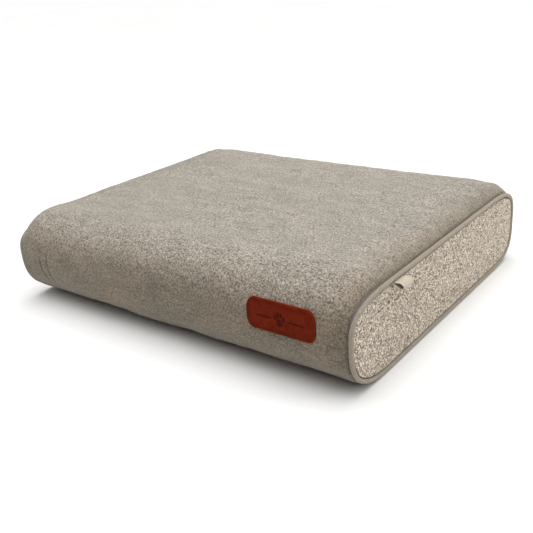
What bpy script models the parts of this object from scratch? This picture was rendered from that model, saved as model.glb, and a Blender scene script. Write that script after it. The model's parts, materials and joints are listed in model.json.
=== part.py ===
"""Pet cushion bed: foam in a plush cover with looped end panels, piping, a label, a ribbon loop and a zip.

Metres, +Z up, +X to the right end, -Y to the front. The origin is on the floor, under the middle of the bed.
"""

import math

import bmesh
import bpy
from mathutils import Matrix, Vector

# Overall size of the cover, measured over the piping.
WIDTH = 0.600
DEPTH = 0.510
END_HEIGHT = 0.121

# The filled top stands above the end panels and rolls down to them.
CROWN = 0.016
CROWN_ROLL = 0.022
CROWN_ROUNDNESS = 2.2
CROWN_START = 0.070

# The rounded front and back, each an upper and a lower quarter of a superellipse.
FRONT_REACH = 0.101
FRONT_WIDEST = 0.0765
FRONT_POWER = 2.8
BACK_REACH = 0.106
BACK_WIDEST = 0.0623
BACK_POWER = 3.5

# Clearances between pieces that touch.
GAP = 0.0003
FOAM_GAP = 0.0010

# Cloth of the cover. The underside stands proud of the wrap, so it alone meets the floor.
COVER_THICKNESS = 0.0025
BASE_PROUD = 0.0005
BASE_SEAM_INSET = 0.006
PANEL_THICKNESS = 0.0025

# Piping: a sleeve with a seam flange, round a filler cord.
PIPING_DIAMETER = 0.006
SLEEVE_THICKNESS = 0.0007
FLANGE_LENGTH = 0.006
FLANGE_SLIT = 0.0004
FLANGE_HEADING_DEG = 225

# Waterproof inner bag and the two foams in it.
LINER_THICKNESS = 0.0006
LINER_BACK_ROOM = 0.0030
FOAM_SPLIT = 0.066

# Leather label on the front. Its height is measured over the curve of the cover.
LABEL_WIDTH = 0.100
LABEL_HEIGHT = 0.032
LABEL_THICKNESS = 0.0018
LABEL_CORNER = 0.012
LABEL_X = 0.203
LABEL_BELOW_TOP = 0.0352

# Ribbon loop in the right seam.
LOOP_WIDTH = 0.025
LOOP_Y = -0.143
LOOP_THICKNESS = 0.0009
LOOP_HOLE_RADIUS = 0.0032
LOOP_REACH = 0.0105
LOOP_DROOP_DEG = 16
LOOP_ROOT_RADIUS = 0.0010
LOOP_TANGENT_DEG = 100

# Zip across the back, in its own frame: x to the right seen from behind, y up the cover, z out of it.
ZIP_HEIGHT = 0.040
ZIP_OPENING = 0.014
TAPE_WIDTH = 0.0125
TAPE_SPLIT = 0.0018
TAPE_THICKNESS = 0.0006
COIL_SPLIT = 0.0012
COIL_WIDTH = 0.0024
COIL_HEIGHT = 0.0018
COIL_END = 0.0310
STOP_LENGTH = 0.0032
STOP_LIP = 0.00015
SLIDER_LENGTH = 0.011
SLIDER_WALL = 0.0010
SLIDER_TAPER = 0.0010
PLATE_THICKNESS = 0.0012
POST_LENGTH = 0.0030
BRIDGE_WIDTH = 0.0016
BRIDGE_THICKNESS = 0.0010
BRIDGE_ROOM = 0.0018
BRIDGE_LENGTH = 0.0075
PULL_LENGTH = 0.026
PULL_WIDTH = 0.0060
PULL_THICKNESS = 0.0012
PULL_EYE = 0.0068

# How finely the curves are cut. ROLL_STATIONS are shares of CROWN_ROLL in from an end seam.
FRONT_STEPS = 12
FINE_FRONT_STEPS = 96
BACK_STEPS = 8
HEM_STEPS = 2
BASE_STEPS = 10
LABEL_STEPS = 7
SLEEVE_STEPS = 9
SLEEVE_BORE_STEPS = 7
CORD_STEPS = 8
LOOP_TIP_STEPS = 10
LOOP_ROOT_STEPS = 4
TAPE_STEPS = 6
ROLL_STATIONS = (0.0, 0.06, 0.20, 0.42, 0.70, 1.0)
SMOOTH_UNDER_DEG = 35

# Sizes that follow from those above.
SEAM_X = WIDTH / 2 - PIPING_DIAMETER - GAP
PIPING_RADIUS = PIPING_DIAMETER / 2
FLANGE_HALF = SLEEVE_THICKNESS + FLANGE_SLIT / 2
PANEL_INSET = PIPING_DIAMETER + GAP
PANEL_INNER_X = WIDTH / 2 - PANEL_INSET + (FLANGE_HALF + GAP) * math.sqrt(2)
PANEL_OUTER_X = PANEL_INNER_X + PANEL_THICKNESS
FLANGE_INNER_X = WIDTH / 2 - PIPING_RADIUS - (FLANGE_LENGTH + FLANGE_HALF) * math.sqrt(0.5)
LINER_INSET = COVER_THICKNESS + GAP
LINER_X = FLANGE_INNER_X - GAP
FOAM_INSET = LINER_INSET + LINER_THICKNESS + FOAM_GAP
FOAM_X = LINER_X - LINER_THICKNESS - FOAM_GAP
END_TOP = BASE_PROUD + END_HEIGHT
LABEL_Z = END_TOP - LABEL_BELOW_TOP
BACK_Y = DEPTH / 2 - BACK_REACH
FRONT_Y = -DEPTH / 2 + FRONT_REACH


def clear_scene():
    for old in list(bpy.data.objects):
        bpy.data.objects.remove(old)


def material(name, colour, roughness, metallic=0.0):
    made = bpy.data.materials.new(name)
    made.use_nodes = True
    shader = made.node_tree.nodes["Principled BSDF"]
    shader.inputs["Base Color"].default_value = (*colour, 1.0)
    shader.inputs["Roughness"].default_value = roughness
    shader.inputs["Metallic"].default_value = metallic
    return made


def add_object(name, mesh, finish, parent=None):
    """Turns a bmesh into a smooth-shaded object with its normals outward."""
    bmesh.ops.recalc_face_normals(mesh, faces=mesh.faces)
    data = bpy.data.meshes.new(name)
    mesh.to_mesh(data)
    mesh.free()
    data.shade_smooth()
    data.set_sharp_from_angle(angle=math.radians(SMOOTH_UNDER_DEG))
    if finish is not None:
        data.materials.append(finish)
    made = bpy.data.objects.new(name, data)
    made.parent = parent
    bpy.context.scene.collection.objects.link(made)
    return made


def ring_mesh(rings, ends):
    """Skins rings of equal length. ends is "flat", "strip" (each ring folds back on itself) or "joined"."""
    mesh = bmesh.new()
    rows = [[mesh.verts.new(point) for point in ring] for ring in rings]
    count = len(rows[0])
    pairs = list(zip(rows, rows[1:]))
    if ends == "joined":
        pairs.append((rows[-1], rows[0]))
    for first, second in pairs:
        for i in range(count):
            j = (i + 1) % count
            mesh.faces.new((first[i], first[j], second[j], second[i]))
    if ends == "flat":
        mesh.faces.new(rows[0])
        mesh.faces.new(rows[-1])
    if ends == "strip":
        for row in (rows[0], rows[-1]):
            for i in range(count // 2 - 1):
                mesh.faces.new((row[i], row[i + 1], row[count - 2 - i], row[count - 1 - i]))
    return mesh


def superellipse(centre_y, centre_z, reach_y, reach_z, power, start_deg, stop_deg, steps):
    """Points from one angle to another, counted from +Y towards +Z."""
    points = []
    for step in range(steps + 1):
        angle = math.radians(start_deg + (stop_deg - start_deg) * step / steps)
        across = math.cos(angle)
        up = math.sin(angle)
        y = centre_y + reach_y * math.copysign(abs(across) ** (2 / power), across)
        z = centre_z + reach_z * math.copysign(abs(up) ** (2 / power), up)
        points.append((y, z))
    return points


def back_angle(height):
    """Angle on the lower back quarter at a height above the floor, in degrees."""
    share = 1 - (height - BASE_PROUD) / BACK_WIDEST
    return -math.degrees(math.asin(share ** (BACK_POWER / 2)))


def lower_back(start_deg, stop_deg, steps):
    return superellipse(
        BACK_Y, BASE_PROUD + BACK_WIDEST, BACK_REACH, BACK_WIDEST, BACK_POWER, start_deg, stop_deg, steps
    )


def front_outline(steps):
    """The front from the flat top, round the nose, to the flat underside."""
    middle = BASE_PROUD + FRONT_WIDEST
    upper = superellipse(
        FRONT_Y, middle, FRONT_REACH, END_HEIGHT - FRONT_WIDEST, FRONT_POWER, 90, 180, steps
    )
    lower = superellipse(FRONT_Y, middle, FRONT_REACH, FRONT_WIDEST, FRONT_POWER, 180, 270, steps)
    return upper + lower[1:]


def wrap_outline():
    """The plush wrap: from the zip up the back, over the top and the nose, to the seam underneath."""
    hem = lower_back(back_angle(ZIP_HEIGHT + ZIP_OPENING / 2), 0, HEM_STEPS)
    upper_back = superellipse(
        BACK_Y, BASE_PROUD + BACK_WIDEST, BACK_REACH, END_HEIGHT - BACK_WIDEST, BACK_POWER, 0, 90, BACK_STEPS
    )
    return hem + upper_back[1:] + front_outline(FRONT_STEPS) + [(FRONT_Y + BASE_SEAM_INSET, BASE_PROUD)]


def base_outline():
    """The underside: from the seam behind the nose to the zip."""
    seam = (FRONT_Y + BASE_SEAM_INSET + GAP, BASE_PROUD)
    return [seam] + lower_back(-90, back_angle(ZIP_HEIGHT - ZIP_OPENING / 2), BASE_STEPS)


def whole_outline():
    """Outline of the end panel over the piping, as a closed loop that starts at the upper zip hem."""
    return wrap_outline() + base_outline()


def normals_of(loop):
    """Outward normals of a closed anticlockwise loop in the YZ plane."""
    normals = []
    for i, (y, z) in enumerate(loop):
        before = Vector((y - loop[i - 1][0], z - loop[i - 1][1])).normalized()
        after_y, after_z = loop[(i + 1) % len(loop)]
        after = Vector((after_y - y, after_z - z)).normalized()
        tangent = (before + after).normalized()
        normals.append((tangent.y, -tangent.x))
    return normals


def crown_share(x):
    """How far the filling has lifted the cover at x: 0 at the end seams, 1 past the roll."""
    along = min(max((SEAM_X - abs(x)) / CROWN_ROLL, 0.0), 1.0)
    return 1 - (1 - along) ** CROWN_ROUNDNESS


def lifted(loop, x):
    """The loop as the filling lifts it at x."""
    share = crown_share(x)
    result = []
    for y, z in loop:
        climb = max(z - CROWN_START, 0.0) / (END_TOP - CROWN_START)
        result.append((y, z + CROWN * share * climb))
    return result


def inset(loop, distance):
    return [
        (y - distance * normal_y, z - distance * normal_z)
        for (y, z), (normal_y, normal_z) in zip(loop, normals_of(loop))
    ]


def stations(end_x):
    """X positions across the bed, close together where the cover rolls down to its ends."""
    right = [SEAM_X - CROWN_ROLL * share for share in ROLL_STATIONS]
    right = [end_x] + [x for x in right if x < end_x - GAP]
    return [-x for x in right] + right[::-1]


def at_x(x, loop):
    return [(x, y, z) for y, z in loop]


def cover_band(name, first, last, outer, inner, finish):
    """A stretch of the cover between two points of the outline, from one inset to another."""
    rings = []
    for x in stations(SEAM_X):
        section = lifted(whole_outline(), x)
        outside = inset(section, outer)[first:last]
        inside = inset(section, inner)[first:last]
        rings.append(at_x(x, outside + inside[::-1]))
    return add_object(name, ring_mesh(rings, "strip"), finish)


def side_panel(name, side, finish):
    face = inset(whole_outline(), PANEL_INSET)
    rings = [at_x(side * PANEL_INNER_X, face), at_x(side * PANEL_OUTER_X, face)]
    return add_object(name, ring_mesh(rings, "flat"), finish)


def arc(radius, start, stop, steps):
    """Points about the origin from one angle to another, in radians."""
    angles = [start + (stop - start) * step / steps for step in range(steps + 1)]
    return [(radius * math.cos(angle), radius * math.sin(angle)) for angle in angles]


def sleeve_section():
    """The piping sleeve cut across: a slit tube, with a seam flange that points down and into the bed."""
    heading = math.radians(FLANGE_HEADING_DEG)
    outer_half = math.asin(FLANGE_HALF / PIPING_RADIUS)
    inner_radius = PIPING_RADIUS - SLEEVE_THICKNESS
    inner_half = math.asin(FLANGE_SLIT / 2 / inner_radius)
    turn = 2 * math.pi

    def flange_tip(offset):
        along_out = FLANGE_LENGTH * math.cos(heading) - offset * math.sin(heading)
        along_side = FLANGE_LENGTH * math.sin(heading) + offset * math.cos(heading)
        return along_out, along_side

    outside = arc(PIPING_RADIUS, heading + outer_half, heading + turn - outer_half, SLEEVE_STEPS)
    inside = arc(inner_radius, heading + turn - inner_half, heading + inner_half, SLEEVE_BORE_STEPS)
    first_tips = [flange_tip(-FLANGE_HALF), flange_tip(-FLANGE_SLIT / 2)]
    last_tips = [flange_tip(FLANGE_SLIT / 2), flange_tip(FLANGE_HALF)]
    return outside + first_tips + inside + last_tips


def round_the_end(name, side, section, finish):
    """Sweeps a section of (outward, sideways) points round the piping's centre line."""
    path = inset(whole_outline(), PIPING_RADIUS)
    rings = []
    for (y, z), (normal_y, normal_z) in zip(path, normals_of(path)):
        ring = []
        for out, sideways in section:
            x = side * (WIDTH / 2 - PIPING_RADIUS + sideways)
            ring.append((x, y + out * normal_y, z + out * normal_z))
        rings.append(ring)
    return add_object(name, ring_mesh(rings, "joined"), finish)


def cord_section():
    radius = PIPING_RADIUS - SLEEVE_THICKNESS - GAP
    return arc(radius, 0, 2 * math.pi, CORD_STEPS)[:-1]


def room_for_zip(loop):
    """Brings the back of an inner layer forward, clear of the zip slider."""
    return [(y - LINER_BACK_ROOM if y > 0 else y, z) for y, z in loop]


def inner_liner(finish):
    """A closed bag with a long slit in the back, where the foams go in."""
    rings = []
    for x in stations(LINER_X):
        rings.append(at_x(x, room_for_zip(inset(lifted(whole_outline(), x), LINER_INSET))))
    mesh = ring_mesh(rings, "flat")
    mesh.faces.ensure_lookup_table()
    slit_height = BASE_PROUD + BACK_WIDEST
    slit = [
        face
        for face in mesh.faces
        if face.calc_center_median().y > DEPTH / 4
        and abs(face.calc_center_median().x) < CROWN_ROLL
        and min(vert.co.z for vert in face.verts) < slit_height + GAP
        and max(vert.co.z for vert in face.verts) > slit_height + GAP
    ]
    bmesh.ops.delete(mesh, geom=slit, context="FACES_ONLY")
    made = add_object("inner_liner", mesh, finish)
    skin = made.modifiers.new("cloth", "SOLIDIFY")
    skin.thickness = LINER_THICKNESS
    skin.offset = -1
    skin.use_even_offset = True
    return made


def cut_at(loop, height, above):
    """The part of a closed loop above or below a height."""
    kept = []
    for i, (y, z) in enumerate(loop):
        before_y, before_z = loop[i - 1]
        if (before_z > height) != (z > height):
            share = (height - before_z) / (z - before_z)
            kept.append((before_y + share * (y - before_y), height))
        if (z > height) == above:
            kept.append((y, z))
    return kept


def foam(name, above, finish):
    flat = room_for_zip(inset(whole_outline(), FOAM_INSET))
    split = FOAM_SPLIT + (GAP / 2 if above else -GAP / 2)
    layer = cut_at(flat, split, above)
    rings = [at_x(x, lifted(layer, x)) for x in stations(FOAM_X)]
    return add_object(name, ring_mesh(rings, "flat"), finish)


def along_front(distance_out):
    """The curve of the filled front at the label, as a function from arc length about the label's middle."""
    curve = lifted(front_outline(FINE_FRONT_STEPS), 0)
    lengths = [0.0]
    for (y0, z0), (y1, z1) in zip(curve, curve[1:]):
        lengths.append(lengths[-1] + math.hypot(y1 - y0, z1 - z0))
    middle = min(range(len(curve)), key=lambda i: abs(curve[i][1] - LABEL_Z))

    def point(arc_length):
        """The point that lies arc_length above the label's middle."""
        wanted = lengths[middle] - arc_length
        i = max(k for k, length in enumerate(lengths[:-1]) if length <= wanted)
        share = (wanted - lengths[i]) / (lengths[i + 1] - lengths[i])
        (y0, z0), (y1, z1) = curve[i], curve[i + 1]
        tangent = Vector((y1 - y0, z1 - z0)).normalized()
        y = y0 + share * (y1 - y0) + distance_out * tangent.y
        z = z0 + share * (z1 - z0) - distance_out * tangent.x
        return y, z

    return point


def label_rows():
    """(height, half width) down a rectangle with rounded corners."""
    straight = LABEL_HEIGHT / 2 - LABEL_CORNER
    corner = [
        (straight + up, LABEL_WIDTH / 2 - LABEL_CORNER + across)
        for across, up in arc(LABEL_CORNER, math.pi / 2, 0, LABEL_STEPS)
    ]
    between = [
        (straight * (1 - 2 * step / LABEL_STEPS), LABEL_WIDTH / 2)
        for step in range(1, LABEL_STEPS)
    ]
    return corner + between + [(-up, half) for up, half in corner[::-1]]


def leather_label(finish):
    back = along_front(GAP)
    front = along_front(GAP + LABEL_THICKNESS)
    rings = []
    for up, half in label_rows():
        back_y, back_z = back(up)
        front_y, front_z = front(up)
        rings.append([
            (LABEL_X - half, back_y, back_z),
            (LABEL_X + half, back_y, back_z),
            (LABEL_X + half, front_y, front_z),
            (LABEL_X - half, front_y, front_z),
        ])
    return add_object("leather_label", ring_mesh(rings, "flat"), finish)


def loop_hinge():
    """(x, z) of the line along the seam about which the ribbon loop bends."""
    x = PANEL_OUTER_X + GAP + LOOP_ROOT_RADIUS
    reach = PIPING_RADIUS + LOOP_ROOT_RADIUS + GAP
    sideways = x - (WIDTH / 2 - PIPING_RADIUS)
    z = END_TOP - PIPING_RADIUS - math.sqrt(reach ** 2 - sideways ** 2)
    return x, z - GAP


def teardrop(tip_radius, root_radius, root_distance):
    """A drop lying along +X: a small round root and a larger round tip, with straight sides."""
    tangent = math.radians(LOOP_TANGENT_DEG)
    tip = arc(tip_radius, -tangent, tangent, LOOP_TIP_STEPS)
    root = arc(root_radius, tangent, 2 * math.pi - tangent, LOOP_ROOT_STEPS)
    return [(LOOP_REACH + x, z) for x, z in tip] + [(root_distance + x, z) for x, z in root]


def loop_tab(finish):
    outside = teardrop(LOOP_HOLE_RADIUS + LOOP_THICKNESS, LOOP_ROOT_RADIUS, 0.0)
    inside = teardrop(LOOP_HOLE_RADIUS, GAP, LOOP_ROOT_RADIUS + 2 * LOOP_THICKNESS)
    rings = []
    for (outer_x, outer_z), (inner_x, inner_z) in zip(outside, inside):
        rings.append([
            (outer_x, -LOOP_WIDTH / 2, outer_z),
            (outer_x, LOOP_WIDTH / 2, outer_z),
            (inner_x, LOOP_WIDTH / 2, inner_z),
            (inner_x, -LOOP_WIDTH / 2, inner_z),
        ])
    made = add_object("loop_tab", ring_mesh(rings, "joined"), finish)
    hinge_x, hinge_z = loop_hinge()
    made.location = (hinge_x, LOOP_Y, hinge_z)
    made.rotation_euler = (0, math.radians(LOOP_DROOP_DEG), 0)
    return made


def back_point(height, distance_in):
    """A point under the cover's back, with its normal: (y, z), (normal_y, normal_z)."""
    angle = back_angle(height)
    y, z = lower_back(angle, angle, 1)[0]
    steep_y = (abs(y - BACK_Y) / BACK_REACH) ** (BACK_POWER - 1) / BACK_REACH
    steep_z = (abs(z - BASE_PROUD - BACK_WIDEST) / BACK_WIDEST) ** (BACK_POWER - 1) / BACK_WIDEST
    normal = Vector((steep_y, -steep_z)).normalized()
    return (y - distance_in * normal.x, z - distance_in * normal.y), (normal.x, normal.y)


def zip_frame():
    """An empty on the cover's back at the zip: x to the right seen from behind, y up the cover, z outward."""
    (y, z), (normal_y, normal_z) = back_point(ZIP_HEIGHT, 0)
    axes = Matrix(((-1, 0, 0), (0, -normal_z, normal_y), (0, normal_y, normal_z)))
    frame = bpy.data.objects.new("zip_frame", None)
    frame.location = (0, y, z)
    frame.rotation_euler = axes.to_euler()
    bpy.context.scene.collection.objects.link(frame)
    return frame


def zip_tape(name, side, finish):
    """Half the tape. It follows the curve of the back and runs in under the hem."""
    edge = TAPE_SPLIT / 2
    heights = [ZIP_HEIGHT + side * (edge + TAPE_WIDTH * step / TAPE_STEPS) for step in range(TAPE_STEPS + 1)]
    outside = [back_point(height, COVER_THICKNESS + GAP)[0] for height in heights]
    inside = [back_point(height, COVER_THICKNESS + GAP + TAPE_THICKNESS)[0] for height in heights]
    section = outside + inside[::-1]
    rings = [at_x(-SEAM_X + GAP, section), at_x(SEAM_X - GAP, section)]
    return add_object(name, ring_mesh(rings, "strip"), finish)


def box(name, low, high, finish, parent):
    """A box between two corners, in its parent's frame, with its origin at its middle."""
    mesh = bmesh.new()
    bmesh.ops.create_cube(mesh, size=1)
    size = Vector(high) - Vector(low)
    bmesh.ops.scale(mesh, vec=size, verts=mesh.verts)
    made = add_object(name, mesh, finish, parent)
    made.location = (Vector(high) + Vector(low)) / 2
    return made


def coil_levels():
    """Bottom and top of the coil in the zip's frame."""
    return -COVER_THICKNESS, -COVER_THICKNESS + COIL_HEIGHT


def zip_coil(name, side, finish, frame):
    bottom, top = coil_levels()
    near = COIL_SPLIT / 2 * side
    far = (COIL_SPLIT / 2 + COIL_WIDTH) * side
    end = WIDTH / 2 - COIL_END
    return box(name, (-end, min(near, far), bottom), (end, max(near, far), top), finish, frame)


def zip_stop(name, start_x, low_y, high_y, finish, frame):
    """A metal clip just past the end of the coil, a little larger than it, so that the slider can't pass."""
    bottom, top = coil_levels()
    return box(name, (start_x, low_y, bottom), (start_x + STOP_LENGTH, high_y, top + STOP_LIP), finish, frame)


def zip_stops(finish, frame):
    inner = COIL_SPLIT / 2 - STOP_LIP
    outer = COIL_SPLIT / 2 + COIL_WIDTH + STOP_LIP
    end = WIDTH / 2 - COIL_END + GAP
    zip_stop("zip_top_stop_upper", end, inner, outer, finish, frame)
    zip_stop("zip_top_stop_lower", end, -outer, -inner, finish, frame)
    zip_stop("zip_bottom_stop", -end - STOP_LENGTH, -outer, outer, finish, frame)


def plate(outline, bottom, top):
    """A flat plate from its (x, y) outline, between two heights."""
    return ring_mesh([[(x, y, z) for x, y in outline] for z in (bottom, top)], "flat")


def shield(bottom, top, half_width):
    """A slider plate: full width at the two-mouthed end (+x), narrower at the other, corners cut."""
    half = SLIDER_LENGTH / 2
    cut = SLIDER_WALL
    outline = [
        (-half, half_width - SLIDER_TAPER - cut),
        (-half + cut, half_width - SLIDER_TAPER),
        (0, half_width - SLIDER_TAPER / 2),
        (half - cut, half_width),
        (half, half_width - cut),
    ]
    outline += [(x, -y) for x, y in outline[::-1]]
    return plate(outline, bottom, top)


def join_by_union(base, *others):
    """Adds each helper to base with a Boolean, and hides the helper."""
    for other in others:
        other.parent = base
        other.hide_render = True
        other.display_type = "WIRE"
        joint = base.modifiers.new(other.name, "BOOLEAN")
        joint.operation = "UNION"
        joint.object = other
        joint.solver = "EXACT"


def slider_levels():
    """Heights in the zip's frame: the lower plate's two faces, then the upper plate's."""
    coil_top = coil_levels()[1]
    tape_bottom = -(COVER_THICKNESS + GAP + TAPE_THICKNESS)
    lower_top = tape_bottom - 2 * GAP
    upper_bottom = coil_top + GAP
    return lower_top - SLIDER_WALL, lower_top, upper_bottom, upper_bottom + PLATE_THICKNESS


def slider_rest_x():
    """Middle of the slider in the zip's frame, up against the top stops."""
    return WIDTH / 2 - COIL_END - SLIDER_LENGTH / 2


def zip_slider(finish, frame):
    channel = COIL_SPLIT / 2 + COIL_WIDTH + GAP
    half_width = channel + SLIDER_WALL
    lower_bottom, lower_top, upper_bottom, upper_top = slider_levels()
    made = add_object("zip_slider", shield(upper_bottom, upper_top, half_width), finish, frame)
    made.location = (slider_rest_x(), 0, 0)
    sunk = SLIDER_WALL / 2
    lower = add_object("slider_lower_plate", shield(lower_bottom, lower_top, half_width), finish)
    half = SLIDER_LENGTH / 2
    wall_end = half - 2 * SLIDER_WALL
    walls = []
    for half_name, side in (("lower", -1), ("upper", 1)):
        near = side * channel
        far = side * (channel + SLIDER_WALL / 2)
        low = (-wall_end, min(near, far), coil_levels()[0])
        high = (wall_end, max(near, far), upper_bottom + sunk)
        walls.append(box(f"slider_wall_{half_name}", low, high, finish, None))
    post_half = COIL_SPLIT / 2 - GAP
    post = box(
        "slider_post",
        (half - SLIDER_WALL - POST_LENGTH, -post_half, lower_top - sunk),
        (half - SLIDER_WALL, post_half, upper_bottom + sunk),
        finish,
        None,
    )
    join_by_union(made, lower, post, *walls, slider_bridge(upper_top, finish))
    return made


def slider_bridge(foot, finish):
    """The arch on the slider that holds the pull: seen from the side, a frame with its corners cut."""
    outer = BRIDGE_LENGTH / 2
    inner = outer - BRIDGE_THICKNESS
    under = foot + BRIDGE_ROOM
    over = under + BRIDGE_THICKNESS
    sunk = foot - PLATE_THICKNESS / 2
    cut = BRIDGE_THICKNESS / 2
    profile = [
        (-outer, sunk),
        (-outer, over - cut),
        (-outer + cut, over),
        (outer - cut, over),
        (outer, over - cut),
        (outer, sunk),
        (inner, sunk),
        (inner, under),
        (-inner, under),
        (-inner, sunk),
    ]
    half = BRIDGE_WIDTH / 2
    rings = [[(x, y, z) for x, z in profile] for y in (-half, half)]
    return add_object("slider_bridge", ring_mesh(rings, "flat"), finish)


def pull_outline():
    """Half of the pull's outline and of its eye, from its hinge bar (x = 0) towards -x."""
    half = PULL_WIDTH / 2
    cut = PULL_WIDTH / 4
    eye_half = BRIDGE_WIDTH / 2 + 2 * GAP
    bar = PULL_THICKNESS / 2
    outer = [
        (bar, half - cut / 2),
        (bar - cut / 2, half),
        (-PULL_LENGTH + cut, half),
        (-PULL_LENGTH, half - cut),
    ]
    eye = [(-bar, eye_half), (-PULL_EYE, eye_half)]
    return outer, eye


def zip_pull(finish, slider):
    """A flat tab whose eye goes round the slider's bridge. Its origin is on the bar under the bridge."""
    outer, eye = pull_outline()
    outer = outer + [(x, -y) for x, y in outer[::-1]]
    eye = eye + [(x, -y) for x, y in eye[::-1]]
    half = PULL_THICKNESS / 2
    made = add_object("zip_pull", plate(outer, -half, half), finish)
    hole = add_object("pull_eye", plate(eye, -PULL_THICKNESS, PULL_THICKNESS), None)
    hole.parent = made
    hole.hide_render = True
    hole.display_type = "WIRE"
    cut = made.modifiers.new("eye", "BOOLEAN")
    cut.operation = "DIFFERENCE"
    cut.object = hole
    cut.solver = "EXACT"
    made.parent = slider
    made.location = (PULL_THICKNESS, 0, slider_levels()[3] + GAP + PULL_THICKNESS / 2)
    return made


def make_cover():
    plush = material("plush", (0.42, 0.37, 0.32), 0.95)
    grip_cloth = material("grip_cloth", (0.16, 0.15, 0.14), 0.85)
    boucle = material("boucle", (0.62, 0.56, 0.48), 0.95)
    welt = material("welt", (0.50, 0.44, 0.37), 0.7)
    filler = material("filler", (0.85, 0.83, 0.78), 0.9)
    ribbon = material("ribbon", (0.60, 0.53, 0.44), 0.5)
    leather = material("leather", (0.30, 0.06, 0.03), 0.55)
    seam = len(wrap_outline())
    total = len(whole_outline())
    cover_band("cover_wrap", 0, seam, 0.0, COVER_THICKNESS, plush)
    cover_band("base_panel", seam, total, -BASE_PROUD, COVER_THICKNESS, grip_cloth)
    for end, side in (("left", -1), ("right", 1)):
        side_panel(f"side_panel_{end}", side, boucle)
        round_the_end(f"piping_cover_{end}", side, sleeve_section(), welt)
        round_the_end(f"piping_cord_{end}", side, cord_section(), filler)
    leather_label(leather)
    loop_tab(ribbon)


def make_zip():
    tape = material("zip_tape", (0.30, 0.26, 0.22), 0.85)
    nylon = material("zip_coil", (0.26, 0.23, 0.20), 0.5)
    metal = material("zip_metal", (0.45, 0.42, 0.38), 0.35, 1.0)
    frame = zip_frame()
    for half, side in (("lower", -1), ("upper", 1)):
        zip_tape(f"zip_tape_{half}", side, tape)
        zip_coil(f"zip_coil_{half}", side, nylon, frame)
    zip_stops(metal, frame)
    zip_pull(metal, zip_slider(metal, frame))


def make_filling():
    film = material("liner", (0.80, 0.80, 0.79), 0.6)
    soft = material("comfort_foam", (0.86, 0.80, 0.62), 0.9)
    firm = material("support_foam", (0.62, 0.64, 0.66), 0.9)
    inner_liner(film)
    foam("foam_top", True, soft)
    foam("foam_base", False, firm)


def main():
    clear_scene()
    make_cover()
    make_zip()
    make_filling()


main()
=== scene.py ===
"""Looks for the pet cushion bed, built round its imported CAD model.

Metres, in the CAD model's own frame: +X to the right end, -Y to the front, +Z up, the floor at z = 0.
A place on the cover is given as (s, x): s is the way round the cover from the zip, up the back, over the
top, round the nose and back underneath, and x is the place across the bed.
"""

import itertools
import json
import math

import bmesh
import bpy
import numpy as np
from mathutils import Matrix, Vector, geometry, kdtree


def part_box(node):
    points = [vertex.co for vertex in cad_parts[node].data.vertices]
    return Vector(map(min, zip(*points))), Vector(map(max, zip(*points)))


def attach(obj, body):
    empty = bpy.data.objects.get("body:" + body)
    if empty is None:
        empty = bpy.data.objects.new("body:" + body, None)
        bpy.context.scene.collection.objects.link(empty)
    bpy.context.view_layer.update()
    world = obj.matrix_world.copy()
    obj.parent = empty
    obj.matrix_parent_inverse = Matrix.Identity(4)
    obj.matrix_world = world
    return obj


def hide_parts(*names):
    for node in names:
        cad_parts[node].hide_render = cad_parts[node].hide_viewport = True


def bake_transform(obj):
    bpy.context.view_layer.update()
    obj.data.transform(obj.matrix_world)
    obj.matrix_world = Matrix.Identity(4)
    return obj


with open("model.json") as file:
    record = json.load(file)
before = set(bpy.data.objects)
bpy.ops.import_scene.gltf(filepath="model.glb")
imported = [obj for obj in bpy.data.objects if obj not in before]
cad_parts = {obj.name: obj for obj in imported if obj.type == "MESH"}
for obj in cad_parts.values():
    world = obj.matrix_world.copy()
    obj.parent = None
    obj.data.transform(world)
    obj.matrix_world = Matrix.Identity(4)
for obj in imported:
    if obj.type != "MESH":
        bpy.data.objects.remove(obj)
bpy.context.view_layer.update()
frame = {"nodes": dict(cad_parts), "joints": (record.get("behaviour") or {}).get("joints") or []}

# Overall sizes, from the CAD model.
PIPING_LOW, PIPING_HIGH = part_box("piping_cover_right")
PANEL_LOW, PANEL_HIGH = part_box("side_panel_right")
WIDTH = 2 * PIPING_HIGH.x
END_TOP = PIPING_HIGH.z
BASE_Z = PIPING_LOW.z
FRONT_TIP_Y = PIPING_LOW.y
BACK_TIP_Y = PIPING_HIGH.y
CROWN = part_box("cover_wrap")[1].z - END_TOP

# The section of the cover, as part.py shapes it.
FRONT_REACH = 0.101
FRONT_WIDEST = 0.0765
FRONT_POWER = 2.8
BACK_REACH = 0.106
BACK_WIDEST = 0.0623
BACK_POWER = 3.5
CROWN_ROLL = 0.022
CROWN_ROUNDNESS = 2.2
CROWN_START = 0.070
COVER_THICKNESS = 0.0025
# How deep the inner faces of the wrap and of the base lie.
COVER_INNER = COVER_THICKNESS - 0.0002
GAP = 0.0003
NOSE_BULGE = 0.0036
NOSE_ROLL = 0.010
QUARTER_STEPS = 700
# Half the distance over which the cover's slope is measured.
SLOPE_STEP = 0.0006

# Piping and the seams beside it.
PIPING_DIAMETER = 0.006
SLEEVE_THICKNESS = 0.0007
FLANGE_LENGTH = 0.006
FLANGE_SLIT = 0.0004
FLANGE_HEADING_DEG = 225
SEAM_X = WIDTH / 2 - PIPING_DIAMETER - GAP
SEAM_ROLL = 0.0032
SEAM_DEPTH = 0.0024
HEM_ROLL = 0.003
HEM_DEPTH = 0.0012

# Zip, label and loop.
ZIP_HEIGHT = 0.040
ZIP_OPENING = 0.014
BASE_SEAM_INSET = 0.006
LABEL_WIDTH = 0.100
LABEL_HEIGHT = 0.032
LABEL_CORNER = 0.012
LABEL_THICKNESS = 0.0018
LABEL_X = 0.203
LABEL_BELOW_TOP = 0.0352

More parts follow.
